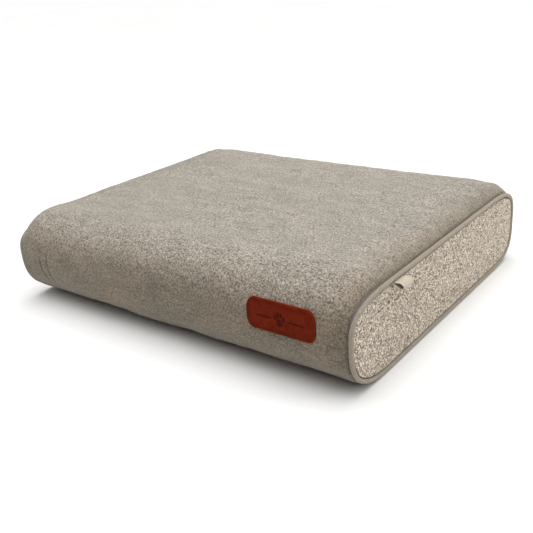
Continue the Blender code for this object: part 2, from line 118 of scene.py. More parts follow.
# The camera, fitted to the picture's view: angles in degrees, distances in metres.
CAMERA_AZIMUTH = 38.13
CAMERA_ELEVATION = 23.01
CAMERA_ROLL = -3.98
CAMERA_DISTANCE = 1.1928
CAMERA_TARGET = Vector((-0.0078, -0.0054, 0.0168))
CAMERA_LENS = 49.70
SENSOR_WIDTH = 36.0

# Painted shade on the upright faces, where less light falls: the share of the pile's colour kept there. The
# pile is brushed downward and seen end on there.
UPRIGHT_PAINTED_SHADE = 0.64

# The studio's light: how strong the ceiling is, how fast it fades towards the walls, and how strong they are.
CEILING_LIGHT = 3.9
CEILING_POWER = 5.0
WALL_LIGHT = 0.06


# ---------------------------------------------------------------- numbers and noise


def hashed(cells, seed):
    """A repeatable number from 0 to 1 for each whole-number cell, from its last axis."""
    mixed = np.full(cells.shape[:-1], seed * 2654435761 % 4294967296, np.int64)
    for axis, prime in zip(range(cells.shape[-1]), (73856093, 19349663, 83492791)):
        mixed ^= cells[..., axis] * prime
    mixed = ((mixed ^ (mixed >> 13)) * 1274126177) & 0xFFFFFFFF
    return ((mixed ^ (mixed >> 16)) & 0xFFFFFF) / 0x1000000


def smooth_noise(points, cell, seed):
    """Noise from 0 to 1 at points of any dimension, with features about one cell across."""
    scaled = points / cell
    base = np.floor(scaled).astype(np.int64)
    part = scaled - base
    part = part * part * (3 - 2 * part)
    total = np.zeros(points.shape[:-1])
    for corner in itertools.product((0, 1), repeat=points.shape[-1]):
        share = np.where(np.array(corner), part, 1 - part).prod(axis=-1)
        total += share * hashed(base + np.array(corner), seed)
    return total


def yarn_loops(points, cell, stretch, seed):
    """Heights from 0 to 1 of small oval domes, one to a cell, at points in a plane; and a number per dome."""
    base = np.floor(points / cell).astype(np.int64)
    height = np.zeros(len(points))
    shade = np.zeros(len(points))
    for step in itertools.product((-1, 0, 1), repeat=2):
        at = base + np.array(step)
        jitter = np.stack([hashed(at, seed), hashed(at, seed + 1)], axis=-1)
        away = points - (at + 0.25 + 0.5 * jitter) * cell
        angle = math.pi * hashed(at, seed + 2)
        along = (away[:, 0] * np.cos(angle) + away[:, 1] * np.sin(angle)) / stretch
        across = (away[:, 1] * np.cos(angle) - away[:, 0] * np.sin(angle)) * stretch
        radius = cell * (0.55 + 0.20 * hashed(at, seed + 3))
        dome = np.sqrt(np.clip(1 - (along ** 2 + across ** 2) / radius ** 2, 0, 1))
        dome *= 0.6 + 0.4 * hashed(at, seed + 4)
        shade = np.where(dome > height, hashed(at, seed + 5), shade)
        height = np.maximum(height, dome)
    return height, shade


def distances_along(line):
    """How far along a line of points each point is."""
    return np.concatenate([[0.0], np.cumsum(np.linalg.norm(np.diff(line, axis=0), axis=1))])


def round_angles(count):
    """Evenly spaced angles of a full turn."""
    return np.arange(count) / count * 2 * math.pi


def unit(vectors):
    """The vectors, each scaled to a length of one."""
    return vectors / np.linalg.norm(vectors, axis=-1, keepdims=True)


def between(new, old, values):
    """Reads a table between its rows, on smooth curves."""
    slopes = np.gradient(values, old, axis=0)
    i = np.clip(np.searchsorted(old, new) - 1, 0, len(old) - 2)
    shape = (-1,) + (1,) * (values.ndim - 1)
    width = (old[i + 1] - old[i]).reshape(shape)
    t = (new - old[i]).reshape(shape) / width
    start = (1 + 2 * t) * (1 - t) ** 2 * values[i] + t * (1 - t) ** 2 * width * slopes[i]
    end = t * t * (3 - 2 * t) * values[i + 1] + t * t * (t - 1) * width * slopes[i + 1]
    return start + end


# ---------------------------------------------------------------- the section of the cover


def quarter(centre_y, centre_z, reach_y, reach_z, power, start_deg, stop_deg):
    """Points on a superellipse, from one angle to another, counted from +Y towards +Z."""
    angle = np.radians(np.linspace(start_deg, stop_deg, QUARTER_STEPS))
    across = np.cos(angle)
    up = np.sin(angle)
    y = centre_y + reach_y * np.sign(across) * np.abs(across) ** (2 / power)
    z = centre_z + reach_z * np.sign(up) * np.abs(up) ** (2 / power)
    return np.stack([y, z], axis=1)


def whole_section():
    """The outline of the cover's ends, as (way round, points)."""
    back_y = BACK_TIP_Y - BACK_REACH
    front_y = FRONT_TIP_Y + FRONT_REACH
    height = END_TOP - BASE_Z
    zip_share = 1 - (ZIP_HEIGHT - BASE_Z) / BACK_WIDEST
    zip_deg = -math.degrees(math.asin(zip_share ** (BACK_POWER / 2)))
    back = (back_y, BASE_Z + BACK_WIDEST, BACK_REACH)
    front = (front_y, BASE_Z + FRONT_WIDEST, FRONT_REACH)
    points = np.concatenate([
        quarter(*back, BACK_WIDEST, BACK_POWER, zip_deg, 0),
        quarter(*back, height - BACK_WIDEST, BACK_POWER, 0, 90),
        quarter(*front, height - FRONT_WIDEST, FRONT_POWER, 90, 180),
        quarter(*front, FRONT_WIDEST, FRONT_POWER, 180, 270),
        quarter(*back, BACK_WIDEST, BACK_POWER, -90, zip_deg),
    ])
    return distances_along(points), points


WAY, SECTION = whole_section()
GIRTH = WAY[-1]
NOSE_WAY = WAY[np.argmin(SECTION[:, 0])]
NOSE_TOP_WAY = WAY[np.argmax(SECTION[:, 0] < FRONT_TIP_Y + FRONT_REACH + GAP / 10)]
FRONT_UNDER_WAY = WAY[
    np.argmax((WAY > NOSE_WAY) & (SECTION[:, 0] > FRONT_TIP_Y + FRONT_REACH - GAP / 10))
]
FRONT_SEAM_WAY = FRONT_UNDER_WAY + BASE_SEAM_INSET


def front_way(height):
    """Way round to the point of the filled front at a height."""
    on_front = (SECTION[:, 0] < FRONT_TIP_Y + FRONT_REACH) & (WAY < NOSE_WAY)
    lifted = SECTION[:, 1] + lift(0.0, SECTION[:, 1])
    off = np.where(on_front, np.abs(lifted - height), np.inf)
    return WAY[np.argmin(off)]


def lift(x, z):
    """How far the filling lifts the cover above the section."""
    along = np.clip((SEAM_X - np.abs(x)) / CROWN_ROLL, 0, 1)
    share = 1 - (1 - along) ** CROWN_ROUNDNESS
    return CROWN * share * np.clip(z - CROWN_START, 0, None) / (END_TOP - CROWN_START)


def nose_bulge(s, x):
    """How far the filling presses the upper nose out, forward and up by the same distance."""
    round_nose = np.clip((s % GIRTH - NOSE_TOP_WAY) / (NOSE_WAY - NOSE_TOP_WAY), 0, 1)
    along = np.clip((SEAM_X - np.abs(x)) / NOSE_ROLL, 0, 1)
    return NOSE_BULGE * np.sin(math.pi * round_nose) ** 2 * (1 - (1 - along) ** CROWN_ROUNDNESS)


def on_cover(s, x):
    """Points of the cover at ways round s and places x, which may be arrays of one shape."""
    bulge = nose_bulge(s, x)
    y = np.interp(s % GIRTH, WAY, SECTION[:, 0]) - bulge
    z = np.interp(s % GIRTH, WAY, SECTION[:, 1])
    return np.stack([np.broadcast_to(x, y.shape), y, z + lift(x, z) + bulge], axis=-1)


def cover_normals(s, x):
    """Outward normals there."""
    round_it = on_cover(s + SLOPE_STEP, x) - on_cover(s - SLOPE_STEP, x)
    across = on_cover(s, x + SLOPE_STEP) - on_cover(s, x - SLOPE_STEP)
    return unit(np.cross(round_it, across))


def off_cover(s, x, out):
    """Points that stand out from the cover by a distance."""
    return on_cover(s, x) + cover_normals(s, x) * np.expand_dims(out, -1)


def rolled_edge(distance, roll, depth):
    """How deep a cloth edge turns in towards its seam, at distances from the seam."""
    near = 1 - np.clip(distance / roll, 0, 1)
    return depth * (1 - np.sqrt(1 - near ** 2))


def turned_in(s, x, start, stop):
    """How deep a sheet of the cover turns in, along its seams and along its hems at start and stop."""
    hem = rolled_edge(np.minimum(s - start, stop - s), HEM_ROLL, HEM_DEPTH)
    return rolled_edge(SEAM_X - np.abs(x), SEAM_ROLL, SEAM_DEPTH) + hem


def inset_loop(s, x, distance):
    """The cover cut across at x and brought in by a distance: (y, z) points and outward normals."""
    across = np.full(len(s), x)
    tangent = unit((on_cover(s + SLOPE_STEP, across) - on_cover(s - SLOPE_STEP, across))[:, 1:])
    normals = np.stack([tangent[:, 1], -tangent[:, 0]], axis=1)
    return on_cover(s, across)[:, 1:] - normals * distance, normals


def inset_section(distance, spacing):
    """The end outline brought in by a distance: points, outward normals and ways round, evenly spaced."""
    count = int(GIRTH / spacing)
    s = np.arange(count) / count * GIRTH
    return *inset_loop(s, SEAM_X, distance), s


# ---------------------------------------------------------------- meshes


def new_object(name, points, faces, finish, fix_normals=False):
    """A smooth-shaded mesh object from an array of points and an array, or several, of faces."""
    parts = [faces] if isinstance(faces, np.ndarray) else [np.asarray(part) for part in faces]
    rows = [row for part in parts for row in part.tolist()]
    data = bpy.data.meshes.new(name)
    data.from_pydata(np.asarray(points, float).reshape(-1, 3).tolist(), [], rows)
    if fix_normals:
        mesh = bmesh.new()
        mesh.from_mesh(data)
        bmesh.ops.recalc_face_normals(mesh, faces=mesh.faces)
        mesh.to_mesh(data)
        mesh.free()
    data.shade_smooth()
    data.materials.append(finish)
    made = bpy.data.objects.new(name, data)
    bpy.context.scene.collection.objects.link(made)
    return made


def mark(piece, name, values):
    """Stores one number or one vector per point, for the piece's material."""
    values = np.asarray(values, np.float32)
    kind, field = ("FLOAT", "value") if values.ndim == 1 else ("FLOAT_VECTOR", "vector")
    piece.data.attributes.new(name, kind, "POINT").data.foreach_set(field, values.ravel())


def mark_both(piece, name, values):
    """The same for a sheet, whose two faces carry the same values."""
    mark(piece, name, np.concatenate([values, values]))


def mark_cloth(piece, along, across):
    """Stores the cloth coordinates of a sheet."""
    mark_both(piece, "cloth", np.stack([along, across, np.zeros(along.shape)], axis=-1).reshape(-1, 3))


def mark_round(piece, name, values):
    """Stores a vector per face corner of a closed tube, so that its pattern doesn't fold back at the join."""
    rows, columns = values.shape[:2]
    corners = np.empty(len(piece.data.loops), np.int32)
    piece.data.loops.foreach_get("vertex_index", corners)
    row = (corners // columns).reshape(-1, 4)
    past_join = (row == 0) & (row.max(axis=1, keepdims=True) == rows - 1)
    stored = values.reshape(-1, 3)[corners]
    stored[past_join.ravel(), 0] += GIRTH
    layer = piece.data.attributes.new(name, "FLOAT_VECTOR", "CORNER")
    layer.data.foreach_set("vector", stored.astype(np.float32).ravel())


def place(piece, body, slot, *nodes):
    """Rides a piece on a body and hides the CAD nodes that it stands for; slot is not used."""
    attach(piece, body)
    if nodes:
        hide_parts(*nodes)
    return piece


def grid_faces(rows, columns, start=0, close_rows=False, close_columns=False):
    """Quads of a grid of points, stored row after row."""
    row_steps = np.arange(rows if close_rows else rows - 1)
    column_steps = np.arange(columns if close_columns else columns - 1)
    i, j = np.meshgrid(row_steps, column_steps, indexing="ij")
    next_i = (i + 1) % rows
    next_j = (j + 1) % columns
    corners = [i * columns + j, next_i * columns + j, next_i * columns + next_j, i * columns + next_j]
    return start + np.stack([c.ravel() for c in corners], axis=1)


def thick_grid(outer, inner):
    """Points and faces of a closed sheet between two grids of points."""
    rows, columns = outer.shape[:2]
    count = rows * columns
    index = np.arange(count).reshape(rows, columns)
    rim = np.concatenate([index[:-1, 0], index[-1, :-1], index[:0:-1, -1], index[0, :0:-1]])
    after = np.roll(rim, -1)
    faces = np.concatenate([
        grid_faces(rows, columns),
        grid_faces(rows, columns, count)[:, ::-1],
        np.stack([after, rim, rim + count, after + count], axis=1),
    ])
    return np.concatenate([outer.reshape(-1, 3), inner.reshape(-1, 3)]), faces


# An outline of more points than twice this is thinned before distances to it are measured.
DISTANCE_EDGES = 260
# Nearest that a point of a filling comes to the outline, in spacings.
FILL_MARGIN = 0.6


def inside_distance(points, outline):
    """Distance in from the edge of a closed outline in a plane, negative outside it."""
    outline = outline[::max(1, len(outline) // DISTANCE_EDGES)]
    nearest = np.full(len(points), np.inf)
    inside = np.zeros(len(points), bool)
    for a, b in zip(outline, np.roll(outline, -1, axis=0)):
        edge = b - a
        away = points - a
        t = np.clip(away @ edge / (edge @ edge), 0, 1)
        nearest = np.minimum(nearest, np.linalg.norm(away - t[:, None] * edge, axis=1))
        crosses = (a[1] > points[:, 1]) != (b[1] > points[:, 1])
        rise = edge[1] if edge[1] else 1.0
        at = a[0] + (points[:, 1] - a[1]) / rise * edge[0]
        inside ^= crosses & (points[:, 0] < at)
    return np.where(inside, nearest, -nearest)


def filled(outline, spacing):
    """Points and triangles that fill a closed outline evenly: the outline's own points come first."""
    low = outline.min(axis=0)
    high = outline.max(axis=0)
    axes = [np.arange(a + spacing / 2, b, spacing) for a, b in zip(low, high)]
    grid = np.stack(np.meshgrid(*axes), axis=-1).reshape(-1, 2)
    grid = grid[inside_distance(grid, outline) > spacing * FILL_MARGIN]
    points = np.concatenate([outline, grid])
    loop = [list(range(len(outline)))]
    made = geometry.delaunay_2d_cdt([Vector(p) for p in points], [], loop, 1, 1e-7)
    return np.array([tuple(p) for p in made[0]]), np.array([tuple(f) for f in made[2]])


def thick_fill(front, front_triangles, back, back_triangles, rim_count):
    """Points and faces of a closed sheet between two fillings of one outline."""
    count = len(front)
    rim = np.arange(rim_count)
    after = np.roll(rim, -1)
    edge = np.stack([after, rim, rim + count, after + count], axis=1)
    return np.concatenate([front, back]), (front_triangles, back_triangles[:, ::-1] + count, edge)


# ---------------------------------------------------------------- cloth


def simulated(points, faces, pins, pressure, ease, most):
    """Where a pinned cloth goes when the filling presses it out: how far each point moves, at most most."""
    data = bpy.data.meshes.new("cloth_trial")
    data.from_pydata(points.tolist(), [], faces.tolist())
    trial = bpy.data.objects.new("cloth_trial", data)
    bpy.context.scene.collection.objects.link(trial)
    group = trial.vertex_groups.new(name="pins")
    for i in np.flatnonzero(pins > 0):
        group.add([int(i)], float(pins[i]), "REPLACE")
    cloth = trial.modifiers.new("cloth", "CLOTH")
    settings = cloth.settings
    settings.quality = 6
    settings.mass = 0.35
    settings.tension_stiffness = 25
    settings.compression_stiffness = 25
    settings.shear_stiffness = 8
    settings.bending_stiffness = 0.8
    settings.vertex_group_mass = "pins"
    settings.shrink_min = -ease
    settings.use_pressure = True
    settings.uniform_pressure_force = pressure
    settings.effector_weights.gravity = 0
    scene = bpy.context.scene
    for step in range(1, 21):
        scene.frame_set(step)
    graph = bpy.context.evaluated_depsgraph_get()
    shaped = trial.evaluated_get(graph).to_mesh()
    moved = np.empty(len(points) * 3)
    shaped.vertices.foreach_get("co", moved)
    scene.frame_set(1)
    bpy.data.objects.remove(trial)
    bpy.data.meshes.remove(data)
    move = moved.reshape(-1, 3) - points
    length = np.linalg.norm(move, axis=1, keepdims=True)
    return move * most * np.tanh(length / most) / np.maximum(length, 1e-9)


# ---------------------------------------------------------------- materials


def linear(share):
    """A screen value from 0 to 1, as the renderer's linear number."""
    return share / 12.92 if share <= 0.04045 else ((share + 0.055) / 1.055) ** 2.4


def srgb(*screen):
    """A colour from three screen values of 0 to 255."""
    return (*(linear(value / 255) for value in screen), 1.0)


def feed(tree, value, socket):
    """Gives a socket a number or a colour, or links it to another node's output."""
    if isinstance(value, bpy.types.NodeSocket):
        tree.links.new(value, socket)
    else:
        socket.default_value = value


def node(tree, kind, settings=(), **inputs):
    """Adds a shader node and feeds its inputs. _ stands for a space in their names."""
    made = tree.nodes.new(kind)
    for name, value in dict(settings).items():
        setattr(made, name, value)
    for name, value in inputs.items():
        feed(tree, value, made.inputs[name.replace("_", " ")])
    return made


def calculated(tree, operation, *values):
    """The result of a math node."""
    made = node(tree, "ShaderNodeMath", {"operation": operation})
    for value, socket in zip(values, made.inputs):
        feed(tree, value, socket)
    return made.outputs[0]


def noise_at(tree, where, scale, detail=2.0, roughness=0.5, distortion=0.0):
    """Noise from about 0.25 to 0.75. scale is how many features fit in a metre."""
    inputs = dict(Vector=where, Scale=scale, Detail=detail, Roughness=roughness, Distortion=distortion)
    return node(tree, "ShaderNodeTexNoise", **inputs).outputs["Fac"]


def remap(tree, value, low, high, to_low=0.0, to_high=1.0):
    """Moves a value from one range to another, and stops it at the ends."""
    ends = dict(From_Min=low, From_Max=high, To_Min=to_low, To_Max=to_high)
    return node(tree, "ShaderNodeMapRange", Value=value, **ends).outputs["Result"]


# A mix node has sockets for numbers, vectors and colours: these are its factor and its two colours.
MIX_INPUTS = (0, 6, 7)
MIX_RESULT = 2


def blended(tree, share, first, second, mode="MIX"):
    """Mixes two colours, each a tuple or an output."""
    made = node(tree, "ShaderNodeMix", {"data_type": "RGBA", "blend_type": mode})
    for value, i in zip((share, first, second), MIX_INPUTS):
        feed(tree, value, made.inputs[i])
    return made.outputs[MIX_RESULT]


def sum_of(tree, *parts):
    """Adds (output, weight) pairs."""
    scaled = [calculated(tree, "MULTIPLY", value, weight) for value, weight in parts]
    total = scaled[0]
    for value in scaled[1:]:
        total = calculated(tree, "ADD", total, value)
    return total


def stretched(tree, where, stretch):
    if stretch is None:
        return where
    return node(tree, "ShaderNodeMapping", Vector=where, Scale=stretch).outputs["Vector"]


def position(tree, stretch=None):
    """The object's own coordinates in metres, which are also the frame's at rest."""
    return stretched(tree, node(tree, "ShaderNodeTexCoord").outputs["Object"], stretch)


def marked(tree, name, stretch=None):
    """A vector stored on the mesh by mark()."""
    stored = node(tree, "ShaderNodeAttribute", {"attribute_name": name}).outputs["Vector"]
    return stretched(tree, stored, stretch)


def marked_number(tree, name):
    return node(tree, "ShaderNodeAttribute", {"attribute_name": name}).outputs["Fac"]


def material(name, roughness, metallic=0.0, specular=0.5):
    """A new material, with its node tree and its shader."""
    made = bpy.data.materials.new(name)
    made.use_nodes = True
    shader = made.node_tree.nodes["Principled BSDF"]
    shader.inputs["Roughness"].default_value = roughness
    shader.inputs["Metallic"].default_value = metallic
    shader.inputs["Specular IOR Level"].default_value = specular
    return made, made.node_tree, shader


def finish_with(tree, shader, colour, height, depth):
    """Links a colour and a relief, depth metres deep, to the shader."""
    tree.links.new(colour, shader.inputs["Base Color"])
    bump = node(tree, "ShaderNodeBump", Height=height, Strength=1.0, Distance=depth)
    tree.links.new(bump.outputs["Normal"], shader.inputs["Normal"])


def cloth_sheen(shader, weight, roughness, tint):
    shader.inputs["Sheen Weight"].default_value = weight
    shader.inputs["Sheen Roughness"].default_value = roughness
    shader.inputs["Sheen Tint"].default_value = tint


def plush_material():
    """Short brushed pile: fine light and dark grain, over soft streaks where it has been stroked. Painted
    shade darkens and warms it on upright faces, beside the seams and in creases.
    """
    made, tree, shader = material("plush", 0.95, specular=0.15)
    here = position(tree)
    patches = noise_at(tree, position(tree, (0.7, 1.3, 1.3)), 26, 3.0, 0.6, 0.8)
    streaks = noise_at(tree, position(tree, (0.30, 1.0, 1.0)), 95, 3.0, 0.6, 0.8)
    tufts = noise_at(tree, here, 420, 2.0, 0.6, 0.4)
    fibres = noise_at(tree, here, 900, 1.0, 0.6)
    nap_and_painted_shade = sum_of(tree, (tufts, 0.6), (fibres, 0.4))
    dark = srgb(66, 57, 47)
    light = srgb(207, 197, 183)
    grain = blended(tree, remap(tree, nap_and_painted_shade, 0.38, 0.62), dark, light)
    cool = srgb(152, 151, 142)
    warm = srgb(160, 151, 139)
    tone = blended(tree, remap(tree, patches, 0.38, 0.62), cool, warm)
    # Painted shade: upright faces get a warmer, flatter and darker copy of the pile's colour, from the stored
    # painted shade.
    upright_shade_share = remap(tree, marked_number(tree, "nap_and_painted_shade"), UPRIGHT_PAINTED_SHADE, 1.0, 1.0, 0.0)
    colour = blended(tree, remap(tree, upright_shade_share, 0.0, 1.0, 0.12, 0.36), grain, tone)
    stroked = remap(tree, sum_of(tree, (patches, 0.45), (streaks, 0.55)), 0.35, 0.65, 0.80, 1.16)
    shade = calculated(tree, "MULTIPLY", stroked, marked_number(tree, "nap_and_painted_shade"))
    colour = blended(tree, upright_shade_share, colour, blended(tree, 1.0, colour, srgb(255, 243, 226), "MULTIPLY"))
    shaded = node(tree, "ShaderNodeVectorMath", {"operation": "SCALE"}, Vector=colour, Scale=shade)
    finish_with(tree, shader, shaded.outputs[0], nap_and_painted_shade, 0.0016)
    cloth_sheen(shader, 0.5, 0.45, srgb(232, 235, 232))
    return made


def boucle_material():
    """Looped yarn: pale on top of each loop, with painted shade darkening the gaps between them and the rim
    by the piping.
    """
    made, tree, shader = material("boucle", 0.95, specular=0.1)
    here = position(tree)
    height = marked_number(tree, "height")
    shade = marked_number(tree, "shade")
    fuzz = noise_at(tree, here, 1100, 2.0, 0.6)
    gap = srgb(52, 45, 36)
    middle = srgb(178, 169, 158)
    pale = srgb(255, 253, 249)
    # Painted shade: the colour darkens as the stored height falls, into the gaps between loops.
    low = blended(tree, remap(tree, height, 0.20, 0.58), gap, middle)
    colour = blended(tree, remap(tree, height, 0.52, 0.88), low, pale)
    tint = blended(tree, remap(tree, shade, 0.0, 1.0), srgb(214, 200, 182), srgb(255, 252, 244))
    colour = blended(tree, 1.0, colour, tint, "MULTIPLY")
    finish_with(tree, shader, colour, fuzz, 0.0005)
    cloth_sheen(shader, 0.2, 0.5, srgb(240, 232, 220))
    return made


def twill_material(name, light, dark, wales, slant, depth, roughness=0.8):
    """Diagonal twill lines, on the cloth coordinates that the mesh carries."""
    made, tree, shader = material(name, roughness, specular=0.25)
    cloth = marked(tree, "cloth", (wales, wales * slant, 1.0))
    lines = node(
        tree, "ShaderNodeTexWave", {"wave_type": "BANDS", "bands_direction": "DIAGONAL"},
        Vector=cloth, Scale=1.0, Distortion=0.6, Detail=1.0, Detail_Scale=2.0,
    ).outputs["Fac"]
    slub = noise_at(tree, position(tree), 260, 2.0, 0.6)
    share = sum_of(tree, (lines, 0.6), (slub, 0.5))
    colour = blended(tree, remap(tree, share, 0.2, 0.85), dark, light)
    finish_with(tree, shader, colour, share, depth)
    cloth_sheen(shader, 0.15, 0.5, light)
    return made


def leather_material():
    """Rust-brown leather: pebbled grain, darker where it is pressed in, with a painted highlight along its
    rolled edge.
    """
    made, tree, shader = material("leather", 0.6, specular=0.04)
    here = position(tree)
    cells = node(tree, "ShaderNodeTexVoronoi", {"feature": "DISTANCE_TO_EDGE"}, Vector=here, Scale=1100.0)
    grain = remap(tree, cells.outputs["Distance"], 0.0, 0.25)
    cloudy = noise_at(tree, here, 90, 4.0, 0.6)
    pressed = marked_number(tree, "pressed")
    colour = blended(tree, remap(tree, cloudy, 0.35, 0.65), srgb(94, 26, 6), srgb(118, 35, 9))
    colour = blended(tree, remap(tree, pressed, 0.0, 1.0, 0.0, 0.75), colour, srgb(52, 12, 5))
    # Painted highlight: lighter and redder along the label's rolled edge.
    wear_and_edge_highlight = remap(tree, marked_number(tree, "edge"), 0.0, 1.0, 0.0, 0.6)
    colour = blended(tree, wear_and_edge_highlight, colour, srgb(136, 48, 24))
    roughness = remap(tree, sum_of(tree, (grain, 0.4), (cloudy, 0.6)), 0.2, 0.8, 0.62, 0.42)
    tree.links.new(roughness, shader.inputs["Roughness"])
    finish_with(tree, shader, colour, sum_of(tree, (grain, 0.6), (cloudy, 0.4)), 0.00018)
    return made


def speckled_material(name, roughness, specular, dark, light, noise, reach, depth):
    """Two tones that follow one noise, which is also the relief: each is full a reach away from 0.5."""
    made, tree, shader = material(name, roughness, specular=specular)
    specks = noise_at(tree, position(tree), *noise)
    colour = blended(tree, remap(tree, specks, 0.5 - reach, 0.5 + reach), dark, light)
    finish_with(tree, shader, colour, specks, depth)
    return made


def thread_material(name, colour):
    """Twisted sewing thread."""
    darker = tuple(value * 0.6 for value in colour[:3]) + (1.0,)
    return speckled_material(name, 0.7, 0.06, darker, colour, (2500, 1.0, 0.5, 0.5), 0.15, 0.0001)


def ribbon_material():
    """Satin-faced ribbon with fine ribs across it."""
    made, tree, shader = material("ribbon", 0.55, specular=0.35)
    ribs = node(
        tree, "ShaderNodeTexWave", {"wave_type": "BANDS", "bands_direction": "X"},
        Vector=marked(tree, "cloth"), Scale=560.0, Distortion=0.8, Detail=1.0, Detail_Scale=3.0,
    ).outputs["Fac"]
    slub = noise_at(tree, marked(tree, "cloth", (300.0, 1500.0, 1.0)), 1.0, 2.0, 0.6)
    share = sum_of(tree, (ribs, 0.5), (slub, 0.5))
    colour = blended(tree, remap(tree, share, 0.25, 0.75), srgb(172, 160, 142), srgb(204, 193, 175))
    finish_with(tree, shader, colour, share, 0.00012)
    cloth_sheen(shader, 0.15, 0.35, srgb(240, 234, 222))
    return made


def floor_material():
    made, tree, shader = material("studio_floor", 0.9, specular=0.1)
    cloudy = noise_at(tree, position(tree), 1.5, 2.0, 0.5)
    colour = blended(tree, remap(tree, cloudy, 0.3, 0.7), (0.86, 0.86, 0.855, 1), (0.88, 0.88, 0.875, 1))
    tree.links.new(colour, shader.inputs["Base Color"])
    return made


def metal_material():
    """Cast and tumbled metal: fine scratches and slightly worn plating."""
    made, tree, shader = material("zip_metal", 0.35, metallic=1.0)
    scratches = noise_at(tree, position(tree, (1.0, 9.0, 9.0)), 900, 3.0, 0.6)
    wear_and_edge_highlight = noise_at(tree, position(tree), 350, 3.0, 0.55)
    colour = blended(tree, remap(tree, wear_and_edge_highlight, 0.35, 0.65), srgb(148, 142, 134), srgb(178, 172, 163))
    tree.links.new(remap(tree, scratches, 0.3, 0.7, 0.26, 0.46), shader.inputs["Roughness"])
    finish_with(tree, shader, colour, scratches, 0.00002)
    return made


def foam_material(name, light, dark, cell):
    """Open-cell foam: pits of every size, paler on the skin between them."""
    made, tree, shader = material(name, 0.95, specular=0.15)
    here = position(tree)
    pits = node(tree, "ShaderNodeTexVoronoi", {"feature": "F1"}, Vector=here, Scale=1 / cell)
    cloudy = noise_at(tree, here, 30, 3.0, 0.6)
    share = sum_of(tree, (pits.outputs["Distance"], 0.8), (cloudy, 0.3))
    finish_with(tree, shader, blended(tree, remap(tree, share, 0.25, 0.75), dark, light), share, cell / 2)
    return made


def liner_material():
    """Thin spun cloth: a faint pattern of pressed spots over random fibres."""
    made, tree, shader = material("liner", 0.75, specular=0.25)
    here = position(tree)
    fibres = noise_at(tree, here, 800, 4.0, 0.7, 1.5)
    spots = node(tree, "ShaderNodeTexVoronoi", {"feature": "F1"}, Vector=here, Scale=500.0, Randomness=0.2)
    share = sum_of(tree, (fibres, 0.6), (spots.outputs["Distance"], 0.5))
    colour = blended(tree, remap(tree, share, 0.25, 0.75), srgb(198, 197, 192), srgb(232, 231, 227))
    finish_with(tree, shader, colour, share, 0.0002)
    return made


PLUSH = plush_material()
BOUCLE = boucle_material()
WELT = twill_material("welt", srgb(176, 166, 151), srgb(126, 116, 101), 1100.0, 1.0, 0.00018)
LEATHER = leather_material()
LEATHER_THREAD = thread_material("leather_thread", srgb(128, 52, 28))
TAUPE_THREAD = thread_material("taupe_thread", srgb(150, 138, 122))
RIBBON = ribbon_material()
GRIP_CLOTH = twill_material("grip_cloth", srgb(86, 80, 73), srgb(50, 46, 42), 900.0, 0.6, 0.0002)
GRIP_RUBBER = speckled_material(
    "grip_rubber", 0.6, 0.4, srgb(112, 107, 99), srgb(134, 128, 119), (700, 2.0, 0.6), 0.15, 0.00005
)
ZIP_TAPE = twill_material("zip_tape", srgb(150, 137, 120), srgb(104, 94, 81), 1500.0, 1.0, 0.0001)
NYLON = speckled_material(
    "zip_nylon", 0.38, 0.5, srgb(112, 101, 88), srgb(138, 126, 110), (900, 2.0, 0.5), 0.15, 0.00002
)
METAL = metal_material()
SOFT_FOAM = foam_material("comfort_foam", srgb(238, 231, 205), srgb(196, 184, 148), 0.0013)
FIRM_FOAM = foam_material("support_foam", srgb(206, 208, 210), srgb(148, 152, 156), 0.0018)
LINER = liner_material()
FILLER = speckled_material(
    "filler", 0.9, 0.15, srgb(196, 188, 172), srgb(232, 227, 214), (1400, 3.0, 0.6, 1.0), 0.2, 0.0002
)


# ---------------------------------------------------------------- the plush wrap


WRAP_START = ZIP_OPENING / 2
WRAP_END = FRONT_SEAM_WAY
LABEL_WAY = front_way(END_TOP - LABEL_BELOW_TOP)
NAP = 0.00035
# Painted shade beside the seams and in the creases: how much darker the pile is painted there, and how fast
# that fades inward from the seams.
SEAM_CREASE_PAINTED_SHADE = 0.28
SEAM_PAINTED_SHADE_REACH = 0.018
# Each crease by the left end: its place across the bed, and its half length.
PUCKERS = ((-0.250, 0.022), (-0.234, 0.027))
PUCKER_DEPTH = 0.0014
PUCKER_HALF = 0.0016
# Furthest that slack cloth sinks towards the filling.
MOST_SLACK = -0.0006
# Lowest the cloth goes: the grip dots hold it this far off the floor.
RESTING = 0.0003
PRESS_ROUND_LABEL = 0.004
UNDER_LABEL = 0.0002
# Slow waves of the cover, which die out towards its edges.
WAVE_HEIGHT = 0.0016
WAVE_LENGTH = 0.050
WAVE_FADE = 0.02
# The cloth simulation's grid, as (round, across), and the finished wrap's.
TRIAL_ROWS = (90, 76)
WRAP_ROWS = 228
WRAP_SPACING = 0.0033


def label_distance(s, x):
    """Distance out from the label's edge at places on the cover, negative under it."""
    beyond_x = np.abs(x - LABEL_X) - (LABEL_WIDTH / 2 - LABEL_CORNER)
    beyond_s = np.abs(s - LABEL_WAY) - (LABEL_HEIGHT / 2 - LABEL_CORNER)
    outside = np.hypot(np.clip(beyond_x, 0, None), np.clip(beyond_s, 0, None))
    return outside + np.minimum(np.maximum(beyond_x, beyond_s), 0) - LABEL_CORNER


def clear_of_label(s, x):
    """0 under the label, rising to 1 a little way from it."""
    away = np.clip(label_distance(s, x) / PRESS_ROUND_LABEL, 0, 1)
    return away * away * (3 - 2 * away)


def across_stops(spacing):
    """Places across the bed from seam to seam, closer together where the cover rolls into its seams."""
    edge = [0.0, 0.0006, 0.0013, 0.0021, 0.0031, 0.0044, 0.0060, 0.0080]
    inner = SEAM_X - 0.0105
    half = np.linspace(0, inner, int(inner / spacing) + 1)
    right = np.concatenate([half[1:], (SEAM_X - np.array(edge))[::-1]])
    return np.concatenate([-right[::-1], [0.0], right])


